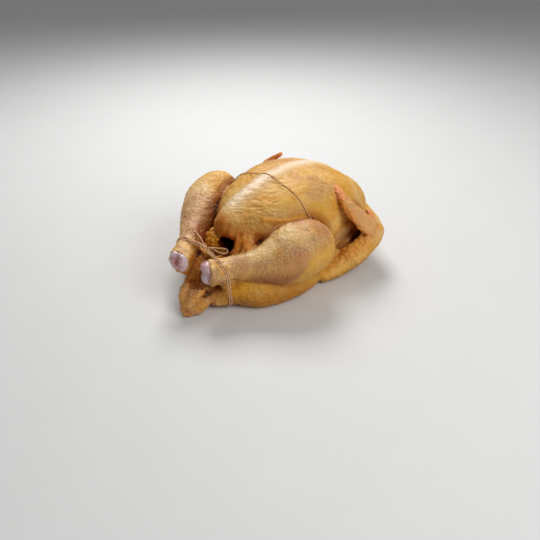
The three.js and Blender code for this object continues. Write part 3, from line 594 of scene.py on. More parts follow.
def scattered(p, order, spacing, block=5):
    """Picks points in an order, each at least a spacing (its own) from those picked before."""
    taken, picked = {}, []
    around = [(a - 1, b - 1, c - 1) for a, b, c in np.ndindex(3, 3, 3)]
    for i in order:
        x, y, z = p[i]
        gap = spacing[i]
        u, v, w = int(x // block), int(y // block), int(z // block)
        close = [q for a, b, c in around for q in taken.get((u + a, v + b, w + c), ())]
        if all((qx - x) ** 2 + (qy - y) ** 2 + (qz - z) ** 2 >= gap * gap for qx, qy, qz in close):
            taken.setdefault((u, v, w), []).append((x, y, z))
            picked.append(i)
    return picked


# ---- string
def hull(points):
    """The convex outline of flat points."""
    rows = sorted(map(tuple, points))

    def half(rows):
        chain = []
        for p in rows:
            while len(chain) > 1:
                (ax, ay), (bx, by) = chain[-2], chain[-1]
                if (bx - ax) * (p[1] - ay) - (by - ay) * (p[0] - ax) > 0:
                    break
                chain.pop()
            chain.append(p)
        return chain[:-1]
    return np.array(half(rows) + half(rows[::-1]))


def taut_loop(field, at, centre, clearance, spacing, rays=240, start=150.0, least=0.02):
    """A string pulled tight round a field in a leaning plane y = at(x, z)."""
    angle = np.linspace(0, 2 * math.pi, rays, endpoint=False)
    ray = np.stack([np.cos(angle), np.sin(angle)], -1)
    reach = np.full(rays, start)
    for _ in range(90):
        x, z = (np.array(centre) + reach[:, None] * ray).T
        d = field(np.stack([x, at(x, z), z], -1).astype(F)) - clearance
        reach = np.where(d < least, reach, reach - np.maximum(0.7 * d, least))
    x, z = (np.array(centre) + reach[:, None] * ray).T
    ring = hull(np.stack([x, np.maximum(z, STRING_RADIUS + STRING_LIFT + ORIGIN[2])], -1))
    ring = evenly(np.vstack([ring, ring[:1]]), spacing)[:-1]
    return np.stack([ring[:, 0], at(ring[:, 0], ring[:, 1]), ring[:, 1]], -1)


def evenly(path, spacing):
    """A path as points at an even spacing, its two ends kept."""
    path = np.asarray(path, float)
    run = np.concatenate([[0], np.cumsum(np.linalg.norm(np.diff(path, axis=0), axis=1))])
    count = max(int(round(run[-1] / spacing)), 2)
    at = np.linspace(0, run[-1], count + 1)
    return np.stack([np.interp(at, run, path[:, i]) for i in range(path.shape[1])], -1)


def smooth(path, closed, spacing, per_span=8):
    """A Catmull-Rom curve through points, as points at an even spacing."""
    path = np.asarray(path, float)
    curve = spans(np.vstack([path[-1:], path, path[:2]]))[1:-1] if closed else spans(path)
    u = np.linspace(0, len(curve), per_span * len(curve) + 1)
    return evenly(on_curve(curve, u)[0], spacing)


def rest_on(path, field, clearance, rounds=8):
    """Lifts points that lie too deep until a string laid through them clears the field."""
    p = np.array(path, F)
    for _ in range(rounds):
        d, g = gradient(field, p, 0.2)
        p = p + np.maximum(clearance - d, 0)[:, None] * unit(g)
    return p.astype(float)


KNOT = (4.5, 19.8, 68.8)
WINDINGS = (((0.78, 0.62, -0.1), 1.6, 2.2), ((0.3, -0.5, 0.8), 1.5, 1.2))
WINDING_PITCH = 1.3
WINDING_STEP = 0.6
FAR_BOW = [
    (-7.5, 25.7, 71), (-20.3, 29.9, 72), (-28.3, 29.9, 73), (-33.4, 27.5, 73),
    (-31.6, 21.4, 73), (-25.8, 16.1, 73), (-18, 15, 73), (-8, 17.6, 72),
]
NEAR_BOW = [
    (11.5, 24.5, 69), (14.4, 30.6, 67), (17.3, 36.8, 65), (20.6, 38.4, 63),
    (21.9, 34.7, 62), (19.6, 30.1, 63), (13, 25, 67),
]
LOOSE_END = [(-3.4, 19.5, 71), (-9, 16.1, 72), (-15, 12.6, 73), (-22, 9.6, 72)]


def leg_tie_paths(field):
    """Two turns round both shanks and the rump, then a bow and a loose end from the knot."""
    clearance = STRING_RADIUS + STRING_LIFT
    tie = LEG_TIE
    paths = []
    for shift in (-tie["pitch"] / 2, tie["pitch"] / 2):
        def at(x, z):
            ahead = np.where(x > tie["x"], tie["near"], tie["far"]) * (x - tie["x"])
            return tie["y"] + shift + ahead + tie["lean_z"] * (z - tie["z"])
        loop = taut_loop(field, at, tie["middle"], clearance, 3.5)
        paths.append((smooth(loop, True, STRING_STEP), True))
    for points in ([KNOT] + FAR_BOW + [KNOT], [KNOT] + NEAR_BOW + [KNOT], [KNOT] + LOOSE_END):
        paths.append((smooth(rest_on(points, field, clearance), False, STRING_STEP), False))
    return paths


def breast_tie_path(field):
    """One turn round the body, over the breast and behind the knees."""
    tie = BREAST_TIE

    def at(x, z):
        return tie["y"] + tie["lean_z"] * np.minimum(z - tie["z"], 0)
    loop = taut_loop(field, at, tie["middle"], STRING_RADIUS + STRING_LIFT, 4)
    return smooth(loop, True, STRING_STEP)


def around(one, two, angle):
    """A direction turned by an angle from one direction towards another one square to it."""
    return np.cos(angle)[..., None] * one + np.sin(angle)[..., None] * two


def knot_paths():
    """Two short windings round the crossing strings, each with its axis, radius and turns."""
    paths = []
    for along, radius, turns in WINDINGS:
        axis = Vector(along).normalized()
        one = axis.orthogonal().normalized()
        two = axis.cross(one)
        t = np.linspace(0, 1, int(24 * turns))
        ring = radius * around(np.array(one), np.array(two), 2 * math.pi * turns * t)
        shift = (t - 0.5)[:, None] * WINDING_PITCH * turns * np.array(axis)
        paths.append((evenly(KNOT + ring + shift, WINDING_STEP), False))
    return paths


def frames_along(path, closed):
    """Tangents of a path and two directions across it that turn as little as possible."""
    ahead = np.roll(path, -1, 0) - np.roll(path, 1, 0) if closed else np.gradient(path, axis=0)
    tangents = unit(ahead)
    across = np.zeros_like(path)
    first = np.cross(tangents[0], (0.3, 0.2, 0.9))
    across[0] = first / np.linalg.norm(first)
    for i in range(1, len(path)):
        side = across[i - 1] - tangents[i] * (across[i - 1] @ tangents[i])
        across[i] = side / np.linalg.norm(side)
    return tangents, across, np.cross(tangents, across)


def tube(path, closed, radius, sides, shape):
    """Points and faces of a tube of even or tapering radius, its ends shut flat."""
    _, one, two = shape
    count = len(path)
    radius = np.broadcast_to(radius, count)
    ring = around(one[:, None], two[:, None], np.linspace(0, 2 * math.pi, sides, endpoint=False))
    points = (path[:, None] + ring * radius[:, None, None]).reshape(-1, 3)
    i = np.arange(count if closed else count - 1)[:, None] * sides
    j = (i + sides) % (count * sides)
    k = np.arange(sides)
    m = (k + 1) % sides
    faces = np.stack([i + k, i + m, j + m, j + k], -1).reshape(-1, 4).tolist()
    if not closed:
        faces += [k[::-1].tolist(), (k + (count - 1) * sides).tolist()]
    return points, faces


def twisted(path, closed, radius, strands=3, sides=6):
    """Strands of yarn twisted round a path."""
    if closed:
        path = path[:-1]
    shape = frames_along(path, closed)
    turns = max(round(STRING_STEP * len(path) / TWIST_PITCH), 1)
    angle = 2 * math.pi * turns * np.arange(len(path)) / len(path)
    if closed:
        last, first = shape[1][-1], shape[1][0]
        slip = math.atan2(shape[2][-1] @ first, last @ first)
        angle = angle + slip * np.arange(len(path)) / len(path)
    parts = []
    for k in range(strands):
        a = angle + 2 * math.pi * k / strands
        line = path + radius * 0.5 * around(*shape[1:], a)
        width = radius * (0.54 + 0.05 * RNG.standard_normal(len(path)).clip(-1.5, 1.5))
        parts.append(tube(line, closed, width, sides, shape))
    return parts


def fibres(path, radius, count):
    """Loose hairs that stand off a twine."""
    shape = frames_along(path, False)
    parts = []
    for i in RNG.integers(2, len(path) - 2, count):
        out = around(shape[1][i], shape[2][i], np.array(RNG.uniform(0, 2 * math.pi)))
        lean = shape[0][i] * RNG.uniform(-1.2, 1.2) + RNG.standard_normal(3) * 0.3
        size = RNG.uniform(0.7, 2.0)
        t = np.linspace(0, 1, 4)[:, None]
        line = path[i] + out * (radius * 0.6 + size * 0.6 * t) + lean * size * t * t
        parts.append(tube(line, False, HAIR_RADIUS * (1.1 - t[:, 0]), 3, frames_along(line, False)))
    return parts


# ---- bone ends
BONE_PLACES = {
    LEFT: ((22.4, 7.8, 50), (-0.62, -0.78, 0)),
    RIGHT: ((-6.6, -7.6, 58.6), (0.1, -0.99, 0)),
}


def bone_frame(side):
    """The middle of a bone end, the way it points, and the way across, level with the ground."""
    at, out = (np.array(v, float) for v in BONE_PLACES[side])
    return at, out, np.array([-out[1], out[0], 0])


def bone_lump(side, place, radii):
    """An ellipsoid given across, along and above the middle of a bone end."""
    at, out, across = bone_frame(side)
    turn = math.degrees(math.atan2(across[1], across[0]))
    a, b, c = place
    return lump(at + a * across + b * out + np.array([0, 0, c]), radii, turn)


def bone_end(side):
    """The gristle cap of an ankle: two condyles, above each other or side by side, and a groove."""
    if side == LEFT:
        one = bone_lump(side, (0, 0.4, 6), (9.6, 8, 6.6))
        two = bone_lump(side, (0, -0.4, -5.8), (9, 8.6, 7.6))
        groove = bone_lump(side, (9, 7, 0.5), (5, 4, 2.2))
    else:
        one = bone_lump(side, (-5, 0, 0), (6.2, 7.6, 10))
        two = bone_lump(side, (6.4, 0, 0), (5, 7.6, 10))
        groove = bone_lump(side, (2.4, 6, 9.8), (2.6, 5.4, 4.8))
    core = bone_lump(side, (0, -2.5, 0), (9, 7, 10))
    return blended(one, (two, 3), (core, 3), (groove, -2))


def ankle_mouth(side):
    """Where the skin of a shank stops short of its bone end."""
    place = (4.5, 4.6, 1) if side == LEFT else (0, 5.6, 0)
    return bone_lump(side, place, (16, 8.6, 16))


# ---- the skin's relief
def within(field, p, soft=3, hard=0.4):
    """1 in a field's form and a little outside it, fading to 0 at a soft distance from it."""
    return 1 - step(hard, soft, in_parts(field, p))


def sided(make, p, soft=3):
    """How much each point belongs to a part on the left and on the right, from 0 to 1."""
    return [within(make(side), p, soft) for side in (LEFT, RIGHT)]


def spot(p, *places):
    """The greatest of some near_point masks, each given as a centre and radii."""
    return most(*[near_point(p, *place) for place in places])


def both_sides(p, centre, radii):
    """A near_point mask on the left and its mirror on the right."""
    return spot(p, (centre, radii), ((-centre[0], *centre[1:]), radii))


def regions(p, n, flesh):
    """How much each point belongs to each region of the skin, from 0 to 1, with the distances to
    the lines that are drawn on it and the patterns of lumps that both relief and colour follow."""
    _, y, z = p.T
    left_leg, right_leg = sided(drumstick, p, 2)
    r = SimpleNamespace(
        left_leg=left_leg,
        right_leg=right_leg,
        leg=most(left_leg, right_leg),
        forearm=most(*sided(forearm, p)),
        hand=most(*sided(hand, p)),
        roll=most(*sided(thigh, p, 2.5)),
        edge=most(hand_edge(p, LEFT), hand_edge(p, RIGHT)),
        tail=within(tail(), p) * (1 - step(12, 26, y)),
        skirt=within(curtains(), p),
        inside=within(cavity(), p, 2.5, 0.5),
        breast=within(torso(), p) * step(30, 50, z),
        mouth=np.minimum(*[in_parts(ankle_mouth(side), p) for side in (LEFT, RIGHT)]),
        fat_lobes=bubbles(p, (6.4, 6.4, 5.6), 6),
        grain=bubbles(p, 3.0, 9),
        pleats=bubbles(p, (9, 4.0, 9), 10),
        scallops=bubbles(p, (5, 5, 4.4), 11),
    )
    r.meat = 1 - r.leg
    r.fat = near_point(p, FAT_LUMP, (24, 26, 27)) * r.meat * step(44, 50, z) * step(84, 76, z)
    r.membrane = near_point(p, (-2, 8, 42), (20, 20, 18)) * r.meat
    r.cup = r.tail * step(8, 14, z) * step(0.1, 0.6, n[:, 2])
    r.web, r.leg_line, r.rim = (
        near_line(p, smooth(line, False, LINE_STEP), reach)
        for line, reach in ((WEB_RIDGE, 8), (LEG_LINE, 6), (TAIL_RIM, 8)))
    r.close, r.deep, r.hollow = (
        np.clip(1 - in_parts(flesh, (p + reach * n).astype(F)) / reach, 0, 1)
        for reach in (3.5, 13.0, 30.0))
    return r


WRINKLED_BREAST = ((26, 78, 96), (30, 36, 30))
TAIL_RIM = ((21.5, 8, 27), (18.5, -2, 25.5), (15.5, -9.6, 21.5), (12, -17, 15))
WEB_RIDGE = ((34, 80, 89), (42, 89, 88.5), (48, 97, 87), (53, 106, 86.5), (58, 118, 88.5))
LEG_LINE = ((47, 21, 46), (50.7, 37.5, 36.6), (62, 49, 35), (72.8, 61.3, 32.8), (83.8, 73.4, 33.4))
KNEE_WRAP_Y = (58, 68, 78, 88, 100, 121)
KNEE_WRAP_Z = (18, 30, 50, 65, 72, 75)
VIEW_ACROSS = np.array([0.72, 0.69, 0.0])
LEFT_SHANK = (0.5, 0.86, 0.0)
RIGHT_SHANK = (-0.56, 0.82, 0.05)


def ridges(p, along, length, width, seed):
    """Thin uneven ridges that run along a direction."""
    along = np.array(along, float) / np.linalg.norm(along)
    run = (p @ along)[:, None] * along
    q = run / length + (p - run) / width
    return 1 - np.abs(noise(q, 1.0, seed)) * 2


def bubbles(p, size, seed):
    """Rounded lumps with narrow creases between them: 1 on a lump, 0 in a crease."""
    first, second = cells(p, size, seed)
    return step(0.0, 0.5, second - first)


def pore_map(p, r):
    """Distance to the nearest and the second nearest pore, and how strong the pores are."""
    order = np.argsort(p[:, 1] + RNG.uniform(0, 1.2, len(p)))
    spacing = PORE_SPACING * (1 - 0.2 * most(r.forearm, r.hand, r.leg))
    spacing = spacing * (1 + 0.2 * noise(p, 14, 5))
    bare = most(r.tail, r.inside, r.fat > 0.5)
    picked = scattered(p, [i for i in order if bare[i] < 0.5], spacing)
    tree = tree_of(p[picked])
    first, second, size = np.zeros(len(p)), np.zeros(len(p)), np.zeros(len(p))
    vigour = RNG.uniform(0.15, 1.35, len(p))[picked]
    for i, point in enumerate(p):
        (_, nearest_pore, first[i]), (_, _, second[i]) = tree.find_n(point, 2)
        size[i] = vigour[nearest_pore]
    strength = 0.22 + 0.5 * r.leg + 0.1 * r.roll + 0.45 * noise(p, 13, 8)
    strength = strength * (1 - 0.8 * bare) * (1 - 0.6 * r.close) * step(1, 9, r.mouth)
    return first, second, np.clip(strength, 0, 1) * size


def wrinkles(p, r):
    """Fine wrinkles: how far they stand out in millimetres, and 1 in the valleys between them, where
    painted shade darkens the skin.
    """
    breast = near_point(p, *WRINKLED_BREAST) * r.breast
    crepe = (0.3 + 0.7 * step(-0.2, 0.5, noise(p, 18, 22))) * (1 - breast) * r.meat
    shank = r.leg * step(6, 16, r.mouth) * step(-0.6, 0.4, noise(p, 15, 35))
    height, valley_shade = 0, 0
    for weight, amount, valley_shade_weight, along, length, width, seed in (
        (breast, 1.0, 0.9, VIEW_ACROSS, 8, 2.4, 3),
        (crepe * (1 - r.forearm), 0.7, 0.45, VIEW_ACROSS, 8, 2.6, 24),
        (shank, 0.7, 0.8, (0.25, -0.2, 0.95), 10, 3, 34),
        (r.forearm, 0.8, 0.2, (-0.5, -0.25, 0.8), 12, 3.6, 41),
        (r.hand, 0.7, 0.4, (-0.4, -0.5, 0.75), 12, 3, 42),
    ):
        ridge = ridges(p, along, length, width, seed)
        height = height + amount * weight * (step(-0.2, 0.9, ridge) - 0.4)
        # painted shade in the wrinkle valleys
        valley_shade = np.maximum(valley_shade, valley_shade_weight * weight * step(0.7, 0.1, ridge))
    return height, valley_shade


def relief(p, n, r, pores, folds, string_gap):
    """How far each point of the skin stands out from the smooth form, in millimetres."""
    first, _, strength = pores
    _, y, z = p.T
    skirt = r.skirt * step(95, 80, z) * (1 - r.inside) * (1 - r.fat)
    below_tip = near_point(p, (22, 56, 84), (24, 20, 16)) * r.meat
    forearm_top = r.forearm * step(-0.2, 0.5, n[:, 2]) * step(14, 22, z)
    roll = r.roll * r.meat
    h = 0.7 * noise(p, 17, 1) + 0.45 * noise(p, 6, 2) + 0.22 * noise(p, 2.8, 3) + folds
    h += 0.6 * strength * bell(first, 1.1)
    h += 2.6 * bell(r.web, 2.2) - bell(r.leg_line, 1.6) + 1.5 * r.tail * bell(r.rim, 2.6)
    for weight, amount, level, along, length, width, seed in (
        (skirt, 2.0, 0.2, (0.1, -0.35, -1), 24, 4.4, 4),
        (below_tip, 1.1, 0.2, (0, -0.6, -1), 18, 4, 36),
        (r.membrane, 1.1, 0.2, (0.1, -0.5, -1), 16, 3.4, 17),
        (r.tail * (1 - r.cup), 0.8, 0.4, (0.5, -0.7, -0.5), 9, 3.4, 12),
    ):
        h += amount * weight * (ridges(p, along, length, width, seed) - level)
    for weight, amount, level, lumps in (
        (skirt, 0.7, 0.5, bubbles(p, 4.4, 16)),
        (r.fat, 2.2, 0.6, r.fat_lobes),
        (r.cup, 1.0, 0.5, r.grain),
        (forearm_top, 1.2, 0.6, r.pleats),
        (r.edge, 1.8, 0.4, r.scallops),
        (roll, 0.6, 0.5, bubbles(p, (6, 4.4, 5), 19)),
    ):
        h += amount * weight * (lumps - level)
    h += 0.4 * r.hand * noise(p, 3.6, 18)
    h += 0.9 * roll * step(80, 50, y) * noise(p, (7, 4.5, 5), 13)
    h += (1.9 + 1.8 * noise(p, 4, 20)) * bell(r.mouth - 1.8, 2.2) * r.leg
    for leg, axis in ((r.left_leg, LEFT_SHANK), (r.right_leg, RIGHT_SHANK)):
        ankle = leg * step(20, 6, r.mouth) * step(2, 5, r.mouth)
        h += 0.9 * ankle * (ridges(p, axis, 16, 4.4, 21) - 0.2)
        h += 0.6 * bell(string_gap, 9) * leg * ridges(p, axis, 14, 2.8, 15)
    groove = 0.75 * bell(string_gap - 3.4, 1.7)
    return h + groove * (0.8 + 0.2 * noise(p, 3, 14)) + 0.2 * bell(string_gap, 1.3)


def skin_colours(p, n, r, pores, valley_shade):
    """The masks that the skin's material mixes its colours by."""
    first, second, strength = pores
    x, y, z = p.T
    up = n[:, 2]
    # A pale band along the top of the breast: pale skin over the keel with a painted highlight on it.
    keel = bell(x + 2, 10) * step(48, 70, y) * step(70, 100, z) * r.breast
    keel = keel * (0.8 + 0.4 * noise(p, (14, 30, 14), 21))
    mottle = step(-0.5, 0.4, noise(p, 20, 22))
    blotch = noise(p, 7, 44)
    wrap_edge = np.interp(y, KNEE_WRAP_Y, KNEE_WRAP_Z) + 2 * noise(p, 7, 37)
    wrap = r.left_leg * step(9, -9, z - wrap_edge) * step(52, 82, y) * step(60, 78, x)
    ankle = r.leg * step(24, 10, r.mouth)
    web = bell(r.web, 3.4)
    rim = bell(r.rim, 3)
    top = r.forearm * step(0.1, 0.8, up) * step(16, 28, z)
    lobe = spot(p, ((22, -6, 14), (12, 12, 9), 0.3), ((32, 22, 18), (13, 16, 13), 0.3))

    # Skin facing down or towards the knee. On the left drumstick it takes a darker mauve: partly its
    # own flush, partly painted shade on the underside.
    lower = most(step(0.9, 0.5, up), step(84, 104, y)) * (0.6 + 0.4 * mottle)
    far = spot(p, ((-54, 58, 82), (34, 36, 26)), ((-31, 40, 70), (20, 24, 18)))
    shins = spot(p, ((-30, 30, 70), (16, 18, 14)), ((46, 30, 58), (17, 20, 15)))
    pink = most(both_sides(p, (30, 168, 106), (36, 46, 30)),
                both_sides(p, (44, 150, 104), (20, 26, 20)))
    flush_and_under_shade = most(
        0.9 * r.left_leg * lower * step(30, 44, y) * (1 - wrap),
        0.95 * r.right_leg * far * (0.65 + 0.35 * mottle),
        0.6 * shins * r.leg,
        0.3 * r.hand * mottle,
        0.6 * ankle * step(0.0, 0.5, blotch),
        0.5 * pink * mottle * r.breast,
    )
    # Pale skin at the wrists, armpits, ankles and the cut ends of the shanks; on the upward-facing
    # tops of the drumsticks the paleness is a painted highlight.
    pale = most(
        0.8 * r.leg * step(0.45, 0.9, up + 0.3 * noise(p, 12, 25)) * step(106, 84, y),
        0.6 * both_sides(p, (95, 207, 50), (14, 24, 22)) * (1 - r.hand),
        0.6 * spot(p, ((70, 178, 44), (13, 20, 14)), ((38, 10, 54), (14, 16, 15))),
        0.85 * ankle * step(0.1, 0.5, -blotch),
        0.8 * r.leg * step(2, 0, r.mouth),
    )
    gold = most(
        0.85 * r.roll * r.meat,
        0.8 * both_sides(p, (66, 136, 84), (26, 26, 24)) * r.meat,
        0.8 * step(78, 45, z) * r.breast * r.meat,
        0.35 * step(205, 250, y) * r.breast,
        0.5 * r.forearm,
        0.5 * r.breast * step(0.0, 0.6, noise(p, 22, 43)),
        0.9 * r.leg * step(50, 42, z) * step(22, 10, r.mouth),
        0.7 * r.membrane,
    ) * (0.75 + 0.4 * noise(p, 11, 26))
    gold = most(gold, 0.55 * wrap, 0.8 * lobe)
    fat = most(
        0.7 * r.fat,
        spot(p, ((46, 31, 26), (13, 14, 13)), ((27, 6, 37), (9, 9, 6))),
        0.85 * web,
        0.5 * r.roll * r.meat * step(0.0, 0.5, noise(p, 13, 23)),
    )
    orange = most(
        r.edge,
        0.8 * top * (0.75 + 0.3 * noise(p, 6, 27)),
        0.6 * ankle * step(0.05, 0.5, noise(p, 6, 46)),
        r.fat,
        0.85 * rim * r.tail,
    )
    tips = most(r.hand * step(88, 101, z).clip(0.26),
                0.8 * both_sides(p, (85, 209, 66), (12, 8, 12)))
    tan = most(
        0.8 * r.tail * (1 - 0.8 * rim) * (1 - 0.8 * lobe) * (0.65 + 0.7 * noise(p, 6, 39)),
        r.hand * (1 - r.edge) * step(100, 88, z) * (0.5 + 0.4 * noise(p, (7, 7, 12), 45)),
    )

    lit = spot(p, ((70, 178, 44), (15, 22, 17)), ((48, 70, 80), (16, 20, 12)))
    shade = np.clip(2.2 * r.hollow - 0.45, 0, 1) * (1 - web) * (1 - 0.85 * r.fat)
    shade = shade * (1 - 0.75 * r.tail) * (1 - 0.9 * most(r.forearm, r.hand))
    shade = shade * (1 - 0.6 * r.membrane) * (1 - 0.7 * lit)
    curtain = spot(p, ((26, 52, 64), (28, 30, 32), 0.2), ((3, 42, 84), (32, 25, 23), 0.05),
                   ((10, 46, 74), (24, 22, 20), 0.2))
    # Amber: the deep own colour of the hanging skin, the membrane and the tail, with painted shade on
    # the breast and in the creases between fat lobes.
    amber_and_shade = most(
        0.95 * curtain * (1 - 0.85 * r.fat) * r.meat,
        0.45 * shade * r.breast,
        0.55 * r.membrane,
        0.2 * r.tail * (1 - 0.7 * rim),
        0.5 * r.fat * (1 - r.fat_lobes),
    ) * (0.95 + 0.35 * noise(p, 5, 28))
    shade = most(
        shade,
        0.55 * step(0.25, -0.4, up) * most(r.leg, step(60, 30, z)) * (1 - 0.7 * wrap),
        0.45 * r.breast * r.meat * step(104, 88, z) * step(150, 110, y),
        0.7 * step(36, 12, z) * r.meat * step(130, 90, y),
    ) * (1 - 0.75 * r.tail)

    open_places = spot(p, ((68, 175, 38), (16, 24, 22)), ((64, 173, 90), (18, 16, 22)),
                       ((87, 208, 64), (14, 14, 16)), ((-30, 62, 84), (20, 26, 20)))
    # Painted shade in creases and folds: from how closed-in the skin is, between pleats and scallops,
    # along the leg line, in the vent and under the tail tip; weaker at open_places.
    crease = np.clip(1.4 * r.close + 0.5 * r.deep - 0.35, 0, 1) * (1 - 0.8 * open_places)
    crease = crease * (1 - web) * (1 - 0.7 * r.fat) * (1 - 0.5 * r.membrane)
    crease = most(
        crease * (1 - 0.6 * near_point(p, (40, 24, 36), (16, 16, 14))),
        0.25 * top * (1 - r.pleats),
        0.3 * r.edge * (1 - r.scallops),
        0.9 * bell(r.leg_line, 1.7),
        0.7 * near_point(p, (6, 3, 31), (15, 10, 11)),
        0.8 * near_point(p, (14, -20, 6), (9, 6, 9)) * step(-0.5, 0.3, noise(p, 3, 38)),
    )
    # Raw flesh red in the opening and the tail's pit, darkened almost to black as painted shadow; in
    # the deep fold under the wing it is painted shadow only.
    raw_flesh_and_shadow = most(
        r.inside,
        0.95 * near_point(p, (21.5, 5, 25.5), (4, 4, 4.2)),
        0.8 * near_point(p, (77, 196, 38), (13, 17, 14)) * step(0.6, 0.95, r.deep),
    )
    # Pale pores, far stronger where the skin faces up: the pores' own pale colour with a painted
    # highlight on them, and painted highlights on the tops of the tail cup's grain.
    pore_dots_and_glints = most(strength * bell(first, 1.2) * (0.15 + 0.85 * step(0.1, 0.8, up)),
                0.5 * r.cup * step(0.6, 1, r.grain))
    # A darker net between the pores, the skin's own pattern, with painted shade in the creases of the
    # tail cup's grain and in the wrinkle valleys.
    net_and_valley_shade = most(
        strength * (1 - step(0, 1.8, second - first)) * (1 - 0.7 * r.forearm),
        1.2 * r.cup * (1 - r.grain),
        0.85 * valley_shade,
    )
    return {
        "skin_a": np.stack([keel, flush_and_under_shade, crease], -1),
        "skin_b": np.stack([fat, tips, orange], -1),
        "skin_c": np.stack([raw_flesh_and_shadow, pore_dots_and_glints, net_and_valley_shade], -1),
        "skin_d": np.stack([gold, pale, amber_and_shade], -1),
        "skin_e": np.stack([shade, tan, 0 * x], -1),
    }


def hand_edge(p, side, reach=14):
    """1 on the trailing edge of a hand, which faces the tail."""
    corners = [station[:3] for station in mirror(HANDS[side], side)[::2]]
    line = smooth(corners, False, 2)
    tree = tree_of(line)
    behind = np.zeros(len(p))
    for i in beside(p, line, reach):
        found, _, gap = tree.find(p[i])
        behind[i] = (found[1] - p[i][1]) / max(gap, 1e-6) if gap < reach else 0
    return step(0.6, 0.92, behind) * within(hand(side), p)


# ---- materials
def rgb(red, green, blue):
    """A colour from 0 to 255 as Blender's linear values."""
    def linear(c):
        c /= 255
        return c / 12.92 if c <= 0.04045 else ((c + 0.055) / 1.055) ** 2.4
    return (linear(red), linear(green), linear(blue), 1)


class Shader:
    """A material and short ways to add nodes to it."""
    def __init__(self, name):
        self.material = bpy.data.materials.new(name)
        self.material.use_nodes = True
        self.tree = self.material.node_tree
        self.main = self.tree.nodes["Principled BSDF"]
        self.place = self.tree.nodes.new("ShaderNodeTexCoord").outputs["Object"]

    def put(self, socket, value):
        if isinstance(value, bpy.types.NodeSocket):
            self.tree.links.new(value, socket)
        else:
            socket.default_value = value

    def set(self, **values):
        for name, value in values.items():
            self.put(self.main.inputs[name.replace("_", " ")], value)

    def node(self, kind, out=0, inputs=None, **settings):
        """One output of a new node with these inputs and settings, or all its outputs."""
        node = self.tree.nodes.new(kind)
        for name, value in settings.items():
            setattr(node, name, value)
        for name, value in (inputs or {}).items():
            self.put(node.inputs[name], value)
        return node.outputs if out is None else node.outputs[out]

    def noise(self, size, detail=3, stretch=None):
        """Noise from 0 to 1 with features of some size in millimetres."""
        place = self.place
        if stretch:
            place = self.node("ShaderNodeMapping", inputs={"Vector": place, "Scale": stretch})
        return self.node("ShaderNodeTexNoise", inputs={
            "Vector": place, "Scale": 1 / (size * MM), "Detail": detail, "Roughness": 0.55})

    def spots(self, size, feature="F1"):
        return self.node("ShaderNodeTexVoronoi", inputs={
            "Vector": self.place, "Scale": 1 / (size * MM)}, feature=feature)

    def ramp(self, value, low, high, to_low=0.0, to_high=1.0):
        return self.node("ShaderNodeMapRange", inputs={
            "Value": value, "From Min": low, "From Max": high,
            "To Min": to_low, "To Max": to_high}, interpolation_type="SMOOTHSTEP")

    def times(self, a, b):
        return self.node("ShaderNodeMath", inputs={0: a, 1: b}, operation="MULTIPLY")

    def channels(self, name):
        """The three numbers of a mesh attribute."""
        whole = self.node("ShaderNodeAttribute", "Vector", attribute_name=name)
        return self.node("ShaderNodeSeparateXYZ", None, {0: whole})

    def mix(self, factor, a, b, blend="MIX"):
        inputs = {0: factor, 6: a, 7: b}
        return self.node("ShaderNodeMix", 2, inputs, data_type="RGBA", blend_type=blend)

    def bump(self, height, distance, strength=1.0, under=None):
        inputs = {"Height": height, "Distance": distance * MM, "Strength": strength}
        if under:
            inputs["Normal"] = under
        return self.node("ShaderNodeBump", inputs=inputs)


